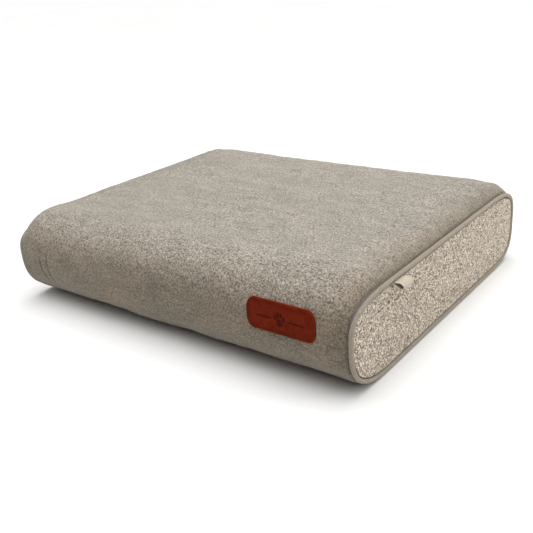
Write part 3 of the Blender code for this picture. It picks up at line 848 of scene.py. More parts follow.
def wrap_trial(ways, places):
    """How the filling moves the wrap, found on a coarse grid: a table of moves at each way and place."""
    s, x = np.meshgrid(ways, places, indexing="ij")
    points = on_cover(s, x).reshape(-1, 3)
    pins = np.zeros(s.shape)
    pins[[0, -1], :] = 1
    pins[:, [0, -1]] = 1
    faces = grid_faces(len(ways), len(places))
    moves = simulated(points, faces, pins.ravel(), pressure=2.5, ease=0.012, most=0.0025)
    return moves.reshape(s.shape + (3,))


def puckers(s, x):
    """Two short creases that rise from the floor near the left end of the nose."""
    depth = np.zeros(s.shape)
    for pucker_x, length in PUCKERS:
        bend = 0.006 * np.clip((NOSE_WAY - s) / length + 0.5, -1, 1) ** 2
        across = (x - pucker_x - bend) / PUCKER_HALF
        along = (s - NOSE_WAY - 0.018) / length
        depth = np.maximum(depth, PUCKER_DEPTH * np.exp(-across ** 2) * np.exp(-along ** 4))
    return depth


def filled_out(ways, places):
    """How the filling moves the wrap at each way and place of the finished grid."""
    coarse_ways = np.linspace(WRAP_START, WRAP_END, TRIAL_ROWS[0])
    coarse_places = np.linspace(-SEAM_X, SEAM_X, TRIAL_ROWS[1])
    fine = between(ways, coarse_ways, wrap_trial(coarse_ways, coarse_places))
    return between(places, coarse_places, fine.swapaxes(0, 1)).swapaxes(0, 1)


def wrap_relief(s, x, free, crease):
    """How far tufts, waves, seams and creases raise the wrap, or sink it."""
    cloth = np.stack([s, x], axis=-1)
    tufts = smooth_noise(cloth, 0.0064, 11) + 0.4 * smooth_noise(cloth, 0.0150, 12) - 0.7
    waves = smooth_noise(cloth * np.array([1.0, 0.6]), WAVE_LENGTH, 13) - 0.5
    from_hem = np.minimum(s - WRAP_START, WRAP_END - s)
    inland = np.clip((SEAM_X - np.abs(x)) / WAVE_FADE, 0, 1) * np.clip(from_hem / WAVE_FADE, 0, 1)
    rise = (NAP * tufts + WAVE_HEIGHT * waves * inland) * free - UNDER_LABEL * (1 - free)
    return rise - turned_in(s, x, WRAP_START, WRAP_END) - crease


def wrap_painted_shade(x, normals, crease):
    """Painted shade for the pile, where less light falls: 1 on top, less on upright faces, by the seams and
    in creases.
    """
    facing_up = np.clip(normals[..., 2], 0, 1) ** 0.8
    facing_back = np.clip(normals[..., 1], 0, 1)
    nap_and_painted_shade = UPRIGHT_PAINTED_SHADE + (1 - UPRIGHT_PAINTED_SHADE) * np.maximum(facing_up, 0.5 * facing_back)
    # Painted shade: darker beside the seams and in the creases.
    beside_seam = np.exp(-(SEAM_X - np.abs(x)) / SEAM_PAINTED_SHADE_REACH)
    return nap_and_painted_shade * (1 - SEAM_CREASE_PAINTED_SHADE * beside_seam - SEAM_CREASE_PAINTED_SHADE * crease / PUCKER_DEPTH)


def make_wrap():
    ways = np.linspace(WRAP_START, WRAP_END, WRAP_ROWS)
    by_creases = [at + PUCKER_HALF * np.array([-1.6, -0.6, 0.4, 1.4, 2.4]) for at, _ in PUCKERS]
    places = np.sort(np.concatenate([across_stops(WRAP_SPACING), *by_creases]))
    s, x = np.meshgrid(ways, places, indexing="ij")
    free = clear_of_label(s, x)
    crease = puckers(s, x)
    normals = cover_normals(s, x)
    pressed_out = np.maximum(np.sum(filled_out(ways, places) * normals, axis=-1), MOST_SLACK)
    rise = wrap_relief(s, x, free, crease) + pressed_out * free
    outer = on_cover(s, x) + normals * rise[..., None]
    outer[..., 2] = np.maximum(outer[..., 2], RESTING)
    inner = on_cover(s, x) - normals * COVER_INNER
    wrap = new_object("plush_wrap", *thick_grid(outer, inner), PLUSH)
    # Stores the painted shade for the plush material.
    mark_both(wrap, "nap_and_painted_shade", wrap_painted_shade(x, normals, crease).ravel())
    place(wrap, "bed", "plush", "cover_wrap")
    return wrap


# ---------------------------------------------------------------- end panels and piping


PIPING_SPACING = 0.0018
# How much the piping's thickness varies, as a share of it.
PIPING_SWELL = 0.035


def sleeve_section():
    """The piping sleeve cut across, as (outward, sideways) points: a slit tube with a seam flange."""
    heading = math.radians(FLANGE_HEADING_DEG)
    radius = PIPING_DIAMETER / 2
    flange_half = SLEEVE_THICKNESS + FLANGE_SLIT / 2
    inner_radius = radius - SLEEVE_THICKNESS
    outer_gap = math.asin(flange_half / radius)
    inner_gap = math.asin(FLANGE_SLIT / 2 / inner_radius)
    outer = np.linspace(heading + outer_gap, heading + 2 * math.pi - outer_gap, 25)
    inner = np.linspace(heading + 2 * math.pi - inner_gap, heading + inner_gap, 17)
    along = np.array([math.cos(heading), math.sin(heading)]) * FLANGE_LENGTH
    aside = np.array([-math.sin(heading), math.cos(heading)])
    tips = [along + aside * offset for offset in
            (-flange_half, -FLANGE_SLIT / 2, FLANGE_SLIT / 2, flange_half)]
    outside = radius * np.stack([np.cos(outer), np.sin(outer)], axis=1)
    inside = inner_radius * np.stack([np.cos(inner), np.sin(inner)], axis=1)
    return np.concatenate([outside, tips[:2], inside, tips[2:]])


def round_the_end(name, side, path, normals, out, sideways, finish):
    """A closed tube round an end panel, from its offsets outward and sideways off the piping's middle."""
    points = np.stack([
        side * (WIDTH / 2 - PIPING_DIAMETER / 2 + sideways),
        path[:, 0, None] + out * normals[:, 0, None],
        path[:, 1, None] + out * normals[:, 1, None],
    ], axis=-1)
    faces = grid_faces(*points.shape[:2], close_rows=True, close_columns=True)
    return new_object(name, points, faces, finish, fix_normals=True)


def make_piping(side, end):
    section = sleeve_section()
    path, normals, ways = inset_section(PIPING_DIAMETER / 2, PIPING_SPACING)
    swell = 1 + PIPING_SWELL * (smooth_noise(ways[:, None], 0.012, 31) - 0.5)
    out = section[None, :, 0] * swell[:, None]
    sideways = section[None, :, 1] * swell[:, None]
    piping = round_the_end(f"piping_sleeve_{end}", side, path, normals, out, sideways, WELT)
    cloth = np.stack(np.broadcast_arrays(ways[:, None], distances_along(section)[None, :], 0.0), axis=-1)
    mark_round(piping, "cloth", cloth)
    return place(piping, "bed", "welt", f"piping_cover_{end}")


def spread_moves(known, moves, wanted):
    """Moves at wanted points, from those at the nearest known points."""
    tree = kdtree.KDTree(len(known))
    for i, point in enumerate(known):
        tree.insert((*point, 0.0), i)
    tree.balance()
    spread = np.zeros((len(wanted), 3))
    for row, point in enumerate(wanted):
        near = tree.find_n((*point, 0.0), 6)
        weights = np.array([1 / (distance + 0.001) ** 2 for _, _, distance in near])
        spread[row] = weights @ moves[[i for _, i, _ in near]] / weights.sum()
    return spread


PANEL_EDGE = 0.0063
PANEL_EDGE_SPACING = 0.0011
PANEL_ROLL = 0.003
PANEL_DEPTH = 0.0022
# How deep the cloth under the yarn loops lies.
PANEL_CLOTH = 0.0009
YARN_SPACING = 0.00078
BACKING_SPACING = 0.004
TRIAL_SPACING = 0.008
LOOP_PITCH = 0.0023
LOOP_HEIGHT = 0.0013


def panel_moves(outline, wanted):
    """How the filling presses the right end panel outward, at points of its (y, z) plane."""
    coarse = outline[::8]
    points, triangles = filled(coarse, TRIAL_SPACING)
    in_place = np.insert(points, 0, PANEL_LOW.x, axis=1)
    pins = np.zeros(len(points))
    pins[:len(coarse)] = 1
    moves = simulated(in_place, triangles, pins, pressure=1.5, ease=0.01, most=0.0008)
    return spread_moves(points, moves, wanted)


def make_end_panel(side, end):
    outline = inset_section(PANEL_EDGE, PANEL_EDGE_SPACING)[0]
    points, triangles = filled(outline, YARN_SPACING)
    from_edge = np.clip(inside_distance(points, outline), 0, None)
    warp = smooth_noise(points, 0.006, 41)[:, None] * np.array([0.0015, 0.0012])
    height, shade = yarn_loops(points + warp, LOOP_PITCH, 1.25, 42 if side > 0 else 52)
    undulation = smooth_noise(points, 0.035, 43) - 0.5
    cloth = PANEL_HIGH.x - PANEL_CLOTH + 0.0006 * undulation * np.clip(from_edge / 0.02, 0, 1)
    x = cloth + LOOP_HEIGHT * height - rolled_edge(from_edge, PANEL_ROLL, PANEL_DEPTH)
    x += panel_moves(outline, points)[:, 0]
    front = np.column_stack([side * x, points])
    backing, backing_triangles = filled(outline, BACKING_SPACING)
    back = np.column_stack([np.full(len(backing), side * (PANEL_LOW.x + 0.0001)), backing])
    sheet, faces = thick_fill(front, triangles, back, backing_triangles, len(outline))
    panel = new_object(f"boucle_panel_{end}", sheet, faces, BOUCLE, fix_normals=True)
    # Painted seam shadow: the stored height fades towards the rim by the piping, which darkens the colour
    # there.
    height_with_rim_shade = height * np.clip(from_edge / 0.0016, 0.2, 1)
    mark(panel, "height", np.concatenate([height_with_rim_shade, np.zeros(len(back))]))
    mark(panel, "shade", np.concatenate([shade, np.zeros(len(back))]))
    place(panel, "bed", "boucle", f"side_panel_{end}")
    return panel


# ---------------------------------------------------------------- label and stitching


# From the label's edge to its stitching, which lies in a pressed groove.
LABEL_RIM = 0.0036
LABEL_SPACING = 0.00055
GROOVE_HALF = 0.00055
EMBLEM_DEPTH = 0.0005
STITCH_LENGTH = 0.0027
STITCH_GAP = 0.0012
THREAD_RADIUS = 0.00026


def rounded_rectangle(width, height, corner, spacing):
    """An anticlockwise outline about the origin."""
    points = []
    steps = max(4, int(math.pi / 2 * corner / spacing))
    for turn, (sign_x, sign_y) in enumerate(((1, 1), (-1, 1), (-1, -1), (1, -1))):
        centre = np.array([sign_x * (width / 2 - corner), sign_y * (height / 2 - corner)])
        angles = np.linspace(0, math.pi / 2, steps + 1) + turn * math.pi / 2
        arc = centre + corner * np.stack([np.cos(angles), np.sin(angles)], axis=1)
        next_sign = ((-1, 1), (-1, -1), (1, -1), (1, 1))[turn]
        next_centre = np.array([next_sign[0] * (width / 2 - corner), next_sign[1] * (height / 2 - corner)])
        last = arc[-1]
        following = last + (next_centre - centre)
        straight = max(2, int(np.linalg.norm(following - last) / spacing))
        side = last + (following - last) * np.linspace(0, 1, straight + 1)[1:-1, None]
        points += [arc, side]
    return np.concatenate(points)


def soft_mask(distance, width):
    """1 where distance is below 0, falling smoothly to 0 over a width."""
    t = np.clip(distance / width, 0, 1)
    return 1 - t * t * (3 - 2 * t)


def emblem(u, v):
    """How far the label's pattern is pressed in, from 0 to 1: a paw between two plain bars."""
    pressed = np.zeros(len(u))
    pads = [(0.0, -0.0026, 0.0046, 0.0036)]
    for aside, up in ((0.0023, 0.0042), (0.0062, 0.0016)):
        pads += [(aside, up, 0.0015, 0.0021), (-aside, up, 0.0015, 0.0021)]
    for centre_u, centre_v, half_u, half_v in pads:
        away = np.hypot((u - centre_u) / half_u, (v - centre_v) / half_v)
        pressed = np.maximum(pressed, soft_mask((away - 1) * half_u, 0.0005))
    bar = np.maximum(np.abs(np.abs(u) - 0.0235) - 0.0110, np.abs(v) - 0.0005)
    return np.maximum(pressed, soft_mask(bar, 0.0005))


def capsules(starts, ends, normals, radius):
    """Points and faces of short threads, each arched out of the cloth with its ends sunk in."""
    stations = np.array([0.0, 0.12, 0.35, 0.65, 0.88, 1.0])
    rise = radius * np.array([-1.0, 0.1, 0.55, 0.55, 0.1, -1.0])
    girth = radius * np.array([0.55, 0.9, 1.0, 1.0, 0.9, 0.55])
    sides = 6
    along = ends - starts
    across = unit(np.cross(along, normals))
    middle = starts[:, None] + along[:, None] * stations[:, None] + normals[:, None] * rise[:, None]
    angle = round_angles(sides)
    ring = np.cos(angle)[None, :, None] * across[:, None] + np.sin(angle)[None, :, None] * normals[:, None]
    points = middle[:, :, None] + ring[:, None] * girth[None, :, None, None]
    one = len(stations) * sides
    tube = grid_faces(len(stations), sides, close_columns=True)
    first = np.arange(sides)[None, :]
    last = first[:, ::-1] + one - sides
    offsets = np.arange(len(starts))[:, None, None] * one
    tubes = (tube[None] + offsets).reshape(-1, 4)
    caps = (np.concatenate([first, last])[None] + offsets).reshape(-1, sides)
    return points.reshape(-1, 3), (tubes, caps)


def read_at(where, way, table):
    """Rows of a table of vectors, read at places along a line."""
    return np.stack([np.interp(where, way, table[:, axis]) for axis in range(3)], axis=1)


def sewn(name, slot, points, normals, finish, closed=False):
    """A line of stitches along points, a thread's gap apart."""
    if closed:
        points = np.concatenate([points, points[:1]])
        normals = np.concatenate([normals, normals[:1]])
    way = distances_along(points)
    count = int(way[-1] / (STITCH_LENGTH + STITCH_GAP))
    starts = np.arange(count) * (way[-1] / count)
    heads = read_at(starts, way, points)
    tails = read_at(starts + STITCH_LENGTH, way, points)
    made = capsules(heads, tails, read_at(starts, way, normals), THREAD_RADIUS)
    return place(new_object(name, *made, finish, fix_normals=True), "bed", slot)


def on_label(u, v, out):
    """Points of the label, u across it and v up it, that stand out from the cover by a distance."""
    return off_cover(LABEL_WAY - v, LABEL_X + u, out)


def make_label():
    outline = rounded_rectangle(LABEL_WIDTH, LABEL_HEIGHT, LABEL_CORNER, 0.0007)
    points, triangles = filled(outline, LABEL_SPACING)
    u, v = points.T
    from_edge = np.clip(inside_distance(points, outline), 0, None)
    groove = np.exp(-(((from_edge - LABEL_RIM) / GROOVE_HALF) ** 2))
    padding = 1 - np.exp(-np.clip(from_edge - LABEL_RIM, 0, None) / 0.004)
    pressed = emblem(u, v)
    grain = smooth_noise(points, 0.0016, 61) + smooth_noise(points, 0.006, 62) - 1
    top = LABEL_THICKNESS - rolled_edge(from_edge, 0.0009, 0.0008)
    top += 0.00025 * padding - 0.0003 * groove - EMBLEM_DEPTH * pressed + 0.00005 * grain
    front = on_label(u, v, top)
    back = on_label(u, v, np.full(len(u), 0.00005))
    sheet, faces = thick_fill(front, triangles, back, triangles, len(outline))
    label = new_object("leather_patch", sheet, faces, LEATHER, fix_normals=True)
    mark(label, "pressed", np.concatenate([np.maximum(pressed, 0.7 * groove), pressed * 0]))
    # Where the painted edge highlight falls.
    mark_both(label, "edge", soft_mask(from_edge - 0.0002, 0.0008))
    place(label, "bed", "leather", "leather_label")
    sew_label()


def sew_label():
    line = rounded_rectangle(
        LABEL_WIDTH - 2 * LABEL_RIM, LABEL_HEIGHT - 2 * LABEL_RIM, LABEL_CORNER - LABEL_RIM, 0.0010
    )
    seam = on_label(line[:, 0], line[:, 1], np.full(len(line), LABEL_THICKNESS - 0.00015))
    normals = cover_normals(LABEL_WAY - line[:, 1], LABEL_X + line[:, 0])
    sewn("label_stitches", "leather", seam, normals, LEATHER_THREAD, closed=True)


# ---------------------------------------------------------------- ribbon loop


RIBBON_WIDTH = 0.025
RIBBON_THICKNESS = 0.0008
RIBBON_ROWS = 110
RIBBON_COLUMNS = 44
RIB_HEIGHT = 0.00004
RIB_PITCH = 0.0009
LOOP_Y = -0.143
LOOP_DROOP_DEG = 16
LOOP_ROOT = Vector(next(j for j in frame["joints"] if j["name"] == "loop_bend")["pos_m"])
# The ribbon's middle line as (outward, upward) points from the seam, in millimetres.
LOOP_LINE = (
    (-2.6, 0.0), (-1.2, 0.45), (1.0, 1.1), (4.2, 2.7), (7.8, 3.6), (11.0, 3.1), (13.4, 1.4), (13.9, -0.9),
    (12.4, -2.7), (9.6, -3.3), (6.4, -2.6), (3.2, -1.5), (0.6, -0.75), (-1.2, -0.55), (-2.6, -0.9),
)


def hung_from_seam(local, width_at):
    """Points of the ribbon in the frame, from (outward, upward) ones, with the loop's droop."""
    droop = math.radians(LOOP_DROOP_DEG)
    x = LOOP_ROOT.x + local[..., 0] * math.cos(droop) + local[..., 1] * math.sin(droop)
    z = LOOP_ROOT.z - local[..., 0] * math.sin(droop) + local[..., 1] * math.cos(droop)
    return np.stack([x, LOOP_Y + width_at, z], axis=-1)


def make_loop():
    line = np.array(LOOP_LINE) / 1000
    way = distances_along(line)
    steps = np.linspace(0, way[-1], RIBBON_ROWS)
    middle = between(steps, way, line)
    tangent = unit(np.gradient(middle, axis=0))
    normal = np.stack([-tangent[:, 1], tangent[:, 0]], axis=1)
    across = np.linspace(-RIBBON_WIDTH / 2, RIBBON_WIDTH / 2, RIBBON_COLUMNS)
    place_on, width_at = np.meshgrid(steps, across, indexing="ij")
    cupped = 0.00035 * (2 * width_at / RIBBON_WIDTH) ** 2
    waver = 0.0003 * (smooth_noise(np.stack([place_on, width_at], axis=-1), 0.009, 71) - 0.5)
    ribs = RIB_HEIGHT * np.sin(place_on / RIB_PITCH * 2 * math.pi)
    near_edge = RIBBON_WIDTH / 2 - np.abs(width_at)
    half = RIBBON_THICKNESS / 2 - rolled_edge(near_edge, 0.0005, 0.00025)
    face_points = [
        hung_from_seam(middle[:, None] + normal[:, None] * (out + waver - cupped)[..., None], width_at)
        for out in (half + ribs, -half - ribs)
    ]
    loop = new_object("ribbon_loop", *thick_grid(*face_points), RIBBON, fix_normals=True)
    mark_cloth(loop, place_on, width_at)
    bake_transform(loop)
    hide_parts("loop_tab")


# ---------------------------------------------------------------- underside


BASE_ROWS = 150
BASE_SPACING = 0.0042
# Bare cloth left round the rubber dots, and from the left seam to the first dot's middle.
DOT_MARGIN = 0.012
DOT_START = 0.014
DOT_PITCH = 0.0105
DOT_RADIUS = 0.0019
DOT_HEIGHT = 0.00045


def make_base():
    ways = np.linspace(FRONT_SEAM_WAY + GAP, GIRTH - ZIP_OPENING / 2, BASE_ROWS)
    places = across_stops(BASE_SPACING)
    s, x = np.meshgrid(ways, places, indexing="ij")
    normals = cover_normals(s, x)
    outer = on_cover(s, x) - normals * turned_in(s, x, ways[0], ways[-1])[..., None]
    inner = on_cover(s, x) - normals * COVER_INNER
    base = new_object("grip_cloth_base", *thick_grid(outer, inner), GRIP_CLOTH)
    mark_cloth(base, s, x)
    place(base, "bed", "grip_cloth", "base_panel")
    make_grip_dots(ways)


def make_grip_dots(ways):
    """Rubber dots under the flat of the base, in staggered rows."""
    flat_start = ways[0] + DOT_MARGIN
    flat_end = WAY[np.argmax((WAY > flat_start) & (SECTION[:, 1] > BASE_Z + 0.0002))]
    rows = np.arange(flat_start, flat_end, DOT_PITCH * math.sqrt(0.75))
    centres = []
    for row, s in enumerate(rows):
        shift = DOT_PITCH / 2 * (row % 2)
        for x in np.arange(-SEAM_X + DOT_START + shift, SEAM_X - DOT_MARGIN, DOT_PITCH):
            centres.append((s, x))
    centres = np.array(centres)
    sides = 10
    angle = round_angles(sides)
    rings = ((1.0, -0.2), (1.0, 0.35), (0.88, 0.75), (0.55, 1.0))
    points = []
    for radius_share, height_share in rings:
        s = centres[:, :1] + DOT_RADIUS * radius_share * np.cos(angle)
        x = centres[:, 1:] + DOT_RADIUS * radius_share * np.sin(angle)
        points.append(off_cover(s, x, np.full(s.shape, DOT_HEIGHT * height_share)))
    points = np.stack(points, axis=1)
    one = len(rings) * sides
    tube = grid_faces(len(rings), sides, close_columns=True)
    offsets = np.arange(len(centres))[:, None, None] * one
    caps = np.stack([np.arange(sides)[::-1], np.arange(sides) + one - sides])
    faces = ((tube[None] + offsets).reshape(-1, 4), (caps[None] + offsets).reshape(-1, sides))
    dots = new_object("grip_dots", points, faces, GRIP_RUBBER, fix_normals=True)
    place(dots, "bed", "grip_cloth")


# ---------------------------------------------------------------- zip


# From the zip's middle to a tape's inner edge, along the coil and past its ends.
TAPE_INNER = 0.0009
TAPE_CLOSED = 0.00008
# How far past the coil the tapes start to close, and over what length.
TAPE_CLOSES = 0.004
TAPE_TAPER = 0.003
TAPE_WIDTH = 0.0125
TAPE_THICKNESS = 0.0006
TAPE_OUT = -(COVER_THICKNESS + GAP)
COIL_LOW, COIL_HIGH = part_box("zip_coil_upper")
COIL_END = COIL_HIGH.x
COIL_PITCH = 0.0014
COIL_WAY = 0.0018
COIL_OUT = -0.0016
COIL_HALF_WAY = 0.00113
COIL_HALF_OUT = 0.0008
COIL_MARGIN = 0.001
WIRE_RADIUS = 0.00026
WIRE_SIDES = 5
TURN_STEPS = 11
# The hems' stitching: from the hem's edge, and from the side seams.
HEM_STITCH_IN = 0.0045
HEM_STITCH_END = 0.008


def make_tape(side, half):
    """Half of the zip's tape. Past the ends of the coil the two halves meet."""
    share = np.linspace(0, 1, 18)
    places = np.linspace(-SEAM_X + GAP, SEAM_X - GAP, 240)
    closed = np.clip((np.abs(places) - COIL_END - TAPE_CLOSES) / TAPE_TAPER, 0, 1)
    inner_edge = TAPE_INNER * (1 - closed) + TAPE_CLOSED * closed
    s = side * (inner_edge[None, :] + (TAPE_INNER + TAPE_WIDTH - inner_edge[None, :]) * share[:, None])
    x = np.broadcast_to(places[None, :], s.shape)
    if side < 0:
        s = s[::-1]
    ripple = 0.00005 * np.sin(s / 0.0011 * 2 * math.pi)
    outer = off_cover(s, x, TAPE_OUT + ripple)
    inner = off_cover(s, x, np.full(s.shape, TAPE_OUT - TAPE_THICKNESS))
    tape = new_object(f"woven_tape_{half}", *thick_grid(outer, inner), ZIP_TAPE)
    mark_cloth(tape, s, x)
    place(tape, "bed", "zip_tape", f"zip_tape_{half}")


def tube_along(line, radius, sides):
    """Points and faces of a round tube that follows a line of points."""
    tangent = unit(np.gradient(line, axis=0))
    level = unit(np.cross(tangent, (1.0, 0.0, 0.0)))
    upright = np.cross(tangent, level)
    angle = round_angles(sides)
    ring = np.cos(angle)[None, :, None] * level[:, None] + np.sin(angle)[None, :, None] * upright[:, None]
    points = line[:, None] + ring * radius
    count = len(line) * sides
    caps = np.stack([np.arange(sides)[::-1], np.arange(count - sides, count)])
    return points.reshape(-1, 3), (grid_faces(len(line), sides, close_columns=True), caps)


def make_coil(side, half):
    """Nylon wire wound into the zip's teeth. The two halves are half a turn apart, so that they interlock."""
    turns = (2 * COIL_END - 2 * COIL_MARGIN) / COIL_PITCH
    angle = np.linspace(0, turns * 2 * math.pi, int(turns * TURN_STEPS)) + (math.pi if side > 0 else 0)
    x = -COIL_END + COIL_MARGIN + (angle - angle[0]) / (2 * math.pi) * COIL_PITCH
    s = side * (COIL_WAY + COIL_HALF_WAY * np.cos(angle))
    line = off_cover(s, x, COIL_OUT + COIL_HALF_OUT * np.sin(angle))
    wire = tube_along(line, WIRE_RADIUS, WIRE_SIDES)
    coil = new_object(f"zip_teeth_{half}", *wire, NYLON, fix_normals=True)
    place(coil, "bed", "zip_coil", f"zip_coil_{half}")


def hem_stitches():
    """The seams that hold the zip: a line of stitches along each side of the opening."""
    x = np.linspace(-SEAM_X + HEM_STITCH_END, SEAM_X - HEM_STITCH_END, 300)
    for half, way in (("upper", WRAP_START + HEM_STITCH_IN), ("lower", -ZIP_OPENING / 2 - HEM_STITCH_IN)):
        s = np.full(len(x), way)
        seam = off_cover(s, x, np.full(len(x), 0.0001))
        sewn(f"hem_stitches_{half}", "plush", seam, cover_normals(s, x), TAUPE_THREAD)


BROKEN_EDGE = 0.00018


def finish_zip_metal():
    """The CAD model's metal parts, with their edges broken."""
    for name in ("zip_slider", "zip_pull", "zip_bottom_stop", "zip_top_stop_upper", "zip_top_stop_lower"):
        piece = frame["nodes"][name]
        piece.data.materials.clear()
        piece.data.materials.append(METAL)
        broken = piece.modifiers.new("broken_edges", "BEVEL")
        broken.width = BROKEN_EDGE
        broken.segments = 3
        broken.limit_method = "ANGLE"
        broken.angle_limit = math.radians(40)
        piece.data.shade_smooth()


# ---------------------------------------------------------------- inside the cover


# Rings of a body from its middle to where its crown rolls down, then to its rim, then round the rim.
MIDDLE_RINGS = 60
ROLL_RINGS = 14
RIM_TURNS_DEG = (25, 50, 75, 90)
# How far in towards the middle of an end its own rings lie.
END_FILLS = (0.12, 0.3, 0.5, 0.7, 0.86, 0.95)
LINER_INSET = COVER_THICKNESS + GAP
LINER_THICKNESS = 0.0006
LINER_BACK_ROOM = 0.003
LINER_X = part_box("inner_liner")[1].x
LINER_SLIT = 0.50
LINER_SLIT_OPEN = 0.0022
LINER_STEPS = 280
FOAM_STEPS = 520
SAWN_STEPS = 90
LINER_EDGE = 0.0015
FOAM_EDGE = 0.002
FOAM_INSET = 0.0044
FOAM_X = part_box("foam_top")[1].x
FOAM_SPLIT = 0.066
CORD_RADIUS = PIPING_DIAMETER / 2 - SLEEVE_THICKNESS - GAP
# One twist of the cord's strands.
CORD_LAY = 0.012
CORD_SPACING = 0.0013
CORD_SIDES = 18


def room_for_zip(loop):
    """Presses the back of the filling in, away from the zip."""
    depth = LINER_BACK_ROOM * np.clip((loop[:, 0] - BACK_TIP_Y + 0.06) / 0.05, 0, 1)
    return loop - np.column_stack([depth, np.zeros(len(loop))])


def body_rings(loop_at, end, edge):
    """Rings of points across a body: rounded rims at both ends, then smaller rings that fill the ends."""
    middle = np.linspace(0, end - CROWN_ROLL, MIDDLE_RINGS)
    roll = end - CROWN_ROLL + (CROWN_ROLL - edge) * np.linspace(0, 1, ROLL_RINGS)[1:] ** 0.6
    half = [(x, 0.0) for x in np.concatenate([middle, roll])]
    for turn in np.radians(RIM_TURNS_DEG):
        half.append((end - edge + edge * math.sin(turn), edge * (1 - math.cos(turn))))
    stations = [(-x, inset) for x, inset in half[:0:-1]] + half
    rings = []
    for x, inset in stations:
        loop = loop_at(x)
        tangent = unit(np.roll(loop, -1, axis=0) - np.roll(loop, 1, axis=0))
        inward = np.stack([-tangent[:, 1], tangent[:, 0]], axis=1)
        rings.append(np.column_stack([np.full(len(loop), x), loop + inward * inset]))
    first, last = rings[0], rings[-1]
    starts = [first + (first.mean(axis=0) - first) * share for share in END_FILLS[::-1]]
    ends = [last + (last.mean(axis=0) - last) * share for share in END_FILLS]
    return np.array(starts + rings + ends)


def body_faces(rings):
    rows, columns = rings.shape[:2]
    caps = np.stack([np.arange(columns)[::-1], np.arange((rows - 1) * columns, rows * columns)])
    return grid_faces(rows, columns, close_columns=True), caps


def in_slit(point):
    across = abs(point.x) < LINER_SLIT / 2
    return across and point.y > 0 and abs(point.z - (BASE_Z + BACK_WIDEST)) < LINER_SLIT_OPEN


def cut_slit(liner):
    mesh = bmesh.new()
    mesh.from_mesh(liner.data)
    slit = [face for face in mesh.faces if in_slit(face.calc_center_median())]
    bmesh.ops.delete(mesh, geom=slit, context="FACES_ONLY")
    mesh.to_mesh(liner.data)
    mesh.free()


def make_liner():
    """A thin bag round the foams, with a long slit in the back where they go in."""
    s = np.arange(LINER_STEPS) / LINER_STEPS * GIRTH
    def loop_at(x):
        loop, normals = inset_loop(s, x, LINER_INSET)
        creases = smooth_noise(np.column_stack([s, np.full(len(s), x)]), 0.019, 81)
        return room_for_zip(loop) - normals * 0.0004 * creases[:, None]
    rings = body_rings(loop_at, LINER_X, LINER_EDGE)
    liner = new_object("liner_bag", rings, body_faces(rings), LINER, fix_normals=True)
    cut_slit(liner)
    skin = liner.modifiers.new("cloth", "SOLIDIFY")
    skin.thickness = LINER_THICKNESS
    skin.offset = -1
    place(liner, "bed", "liner", "inner_liner")


def make_foam(name, node_name, above, finish, slot):
    """One layer of the filling: a block sawn flat where it meets the other layer."""
    s = np.arange(FOAM_STEPS) / FOAM_STEPS * GIRTH
    flat = room_for_zip(inset_loop(s, SEAM_X, FOAM_INSET)[0])
    split = FOAM_SPLIT + (GAP / 2 if above else -GAP / 2)
    side = 1 if above else -1
    keep = side * (flat[:, 1] - split) > 0
    start = np.flatnonzero(keep & ~np.roll(keep, 1))[0]
    order = np.roll(np.arange(len(s)), -start)
    kept = order[keep[order]]
    first = flat[kept[0]]
    last = flat[kept[-1]]
    sawn = np.column_stack([np.linspace(last[0], first[0], SAWN_STEPS), np.full(SAWN_STEPS, split)])
    def loop_at(x):
        raised = flat[kept].copy()
        raised[:, 1] += lift(x, flat[kept][:, 1])
        waver = smooth_noise(np.column_stack([raised, np.full(len(raised), x)]), 0.03, 83) - 0.5
        raised[:, 1] -= 0.0006 * side * (0.5 + waver) * (np.abs(raised[:, 1] - split) > 0.004)
        return np.concatenate([raised, sawn])
    rings = body_rings(loop_at, FOAM_X, FOAM_EDGE)
    foam = new_object(name, rings, body_faces(rings), finish, fix_normals=True)
    foam.data.set_sharp_from_angle(angle=math.radians(50))
    place(foam, "bed", slot, node_name)


def make_piping_cord(side, end):
    """Three strands twisted together, inside the piping."""
    path, normals, ways = inset_section(PIPING_DIAMETER / 2, CORD_SPACING)
    angle = round_angles(CORD_SIDES)
    twist = ways / CORD_LAY * 2 * math.pi
    twist *= round(GIRTH / CORD_LAY) * CORD_LAY / GIRTH
    strands = np.abs(np.cos(1.5 * (angle[None, :] - twist[:, None])))
    radius = CORD_RADIUS * (0.74 + 0.26 * np.sqrt(strands))
    out = radius * np.cos(angle)
    sideways = radius * np.sin(angle)
    cord = round_the_end(f"filler_cord_{end}", side, path, normals, out, sideways, FILLER)
    place(cord, "bed", "filler", f"piping_cord_{end}")


# ---------------------------------------------------------------- the stage


FLOOR_HALF = 14.0


def camera_axes():
    """The camera's right, up and backward directions."""
    azimuth = math.radians(CAMERA_AZIMUTH)
    elevation = math.radians(CAMERA_ELEVATION)
    roll = math.radians(CAMERA_ROLL)
    back = Vector((
        math.sin(azimuth) * math.cos(elevation),
        -math.cos(azimuth) * math.cos(elevation),
        math.sin(elevation),
    ))
    level = Vector((math.cos(azimuth), math.sin(azimuth), 0))
    upright = back.cross(level)
    right = level * math.cos(roll) + upright * math.sin(roll)
    up = upright * math.cos(roll) - level * math.sin(roll)
    return right, up, back


def make_camera():
    data = bpy.data.cameras.new("camera")
    data.lens = CAMERA_LENS
    data.sensor_width = SENSOR_WIDTH
    camera = bpy.data.objects.new("camera", data)
    bpy.context.scene.collection.objects.link(camera)
    right, up, back = camera_axes()
    turn = Matrix((right, up, back)).transposed().to_4x4()
    camera.matrix_world = Matrix.Translation(CAMERA_TARGET + back * CAMERA_DISTANCE) @ turn
    bpy.context.scene.camera = camera


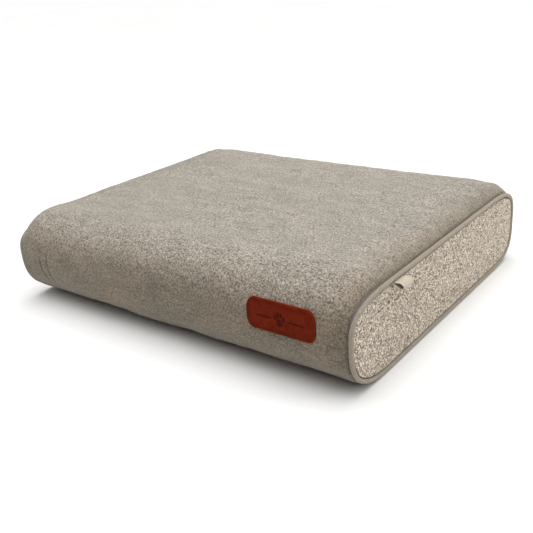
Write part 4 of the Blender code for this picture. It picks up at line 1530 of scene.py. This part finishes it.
def area_light(name, place_at, aim_at, size, power):
    data = bpy.data.lights.new(name, "AREA")
    data.shape = "SQUARE"
    data.size = size
    data.energy = power
    light = bpy.data.objects.new(name, data)
    light.location = place_at
    direction = Vector(aim_at) - Vector(place_at)
    light.rotation_euler = direction.to_track_quat("-Z", "Y").to_euler()
    bpy.context.scene.collection.objects.link(light)


def make_world():
    """A bright ceiling over dim walls. The camera itself sees plain white."""
    world = bpy.data.worlds.new("studio")
    world.use_nodes = True
    tree = world.node_tree
    sky = tree.nodes["Background"]
    sky.inputs["Color"].default_value = (1.0, 1.0, 1.0, 1.0)
    direction = node(tree, "ShaderNodeTexCoord").outputs["Generated"]
    upward = remap(tree, node(tree, "ShaderNodeSeparateXYZ", Vector=direction).outputs["Z"], 0.0, 1.0)
    overhead = calculated(tree, "POWER", upward, CEILING_POWER)
    strength = calculated(tree, "MULTIPLY_ADD", overhead, CEILING_LIGHT, WALL_LIGHT)
    seen = node(tree, "ShaderNodeLightPath").outputs["Is Camera Ray"]
    feed(tree, calculated(tree, "MAXIMUM", strength, seen), sky.inputs["Strength"])
    bpy.context.scene.world = world


def make_stage():
    corners = [
        (-FLOOR_HALF, -FLOOR_HALF, 0), (FLOOR_HALF, -FLOOR_HALF, 0),
        (FLOOR_HALF, FLOOR_HALF, 0), (-FLOOR_HALF, FLOOR_HALF, 0),
    ]
    floor = new_object("studio_floor", corners, [[(0, 1, 2, 3)]], floor_material())
    make_world()
    bpy.context.scene.view_settings.view_transform = "Standard"
    area_light("overhead", (-0.3, 0.5, 1.8), (0, 0, 0.1), 1.6, 5)
    area_light("right_fill", (2.0, 0.9, 0.7), (0.3, 0.1, 0.06), 1.0, 16)
    area_light("left_fill", (-2.2, -0.9, 0.9), (-0.2, -0.2, 0.06), 1.0, 5)


make_camera()
make_stage()
make_wrap()
for end_name, end_side in (("left", -1), ("right", 1)):
    make_piping(end_side, end_name)
    make_end_panel(end_side, end_name)
make_label()
make_loop()
make_base()
for half_name, half_side in (("lower", -1), ("upper", 1)):
    make_tape(half_side, half_name)
    make_coil(half_side, half_name)
hem_stitches()
finish_zip_metal()
for end_name, end_side in (("left", -1), ("right", 1)):
    make_piping_cord(end_side, end_name)
make_liner()
make_foam("foam_block_top", "foam_top", True, SOFT_FOAM, "comfort_foam")
make_foam("foam_block_base", "foam_base", False, FIRM_FOAM, "support_foam")
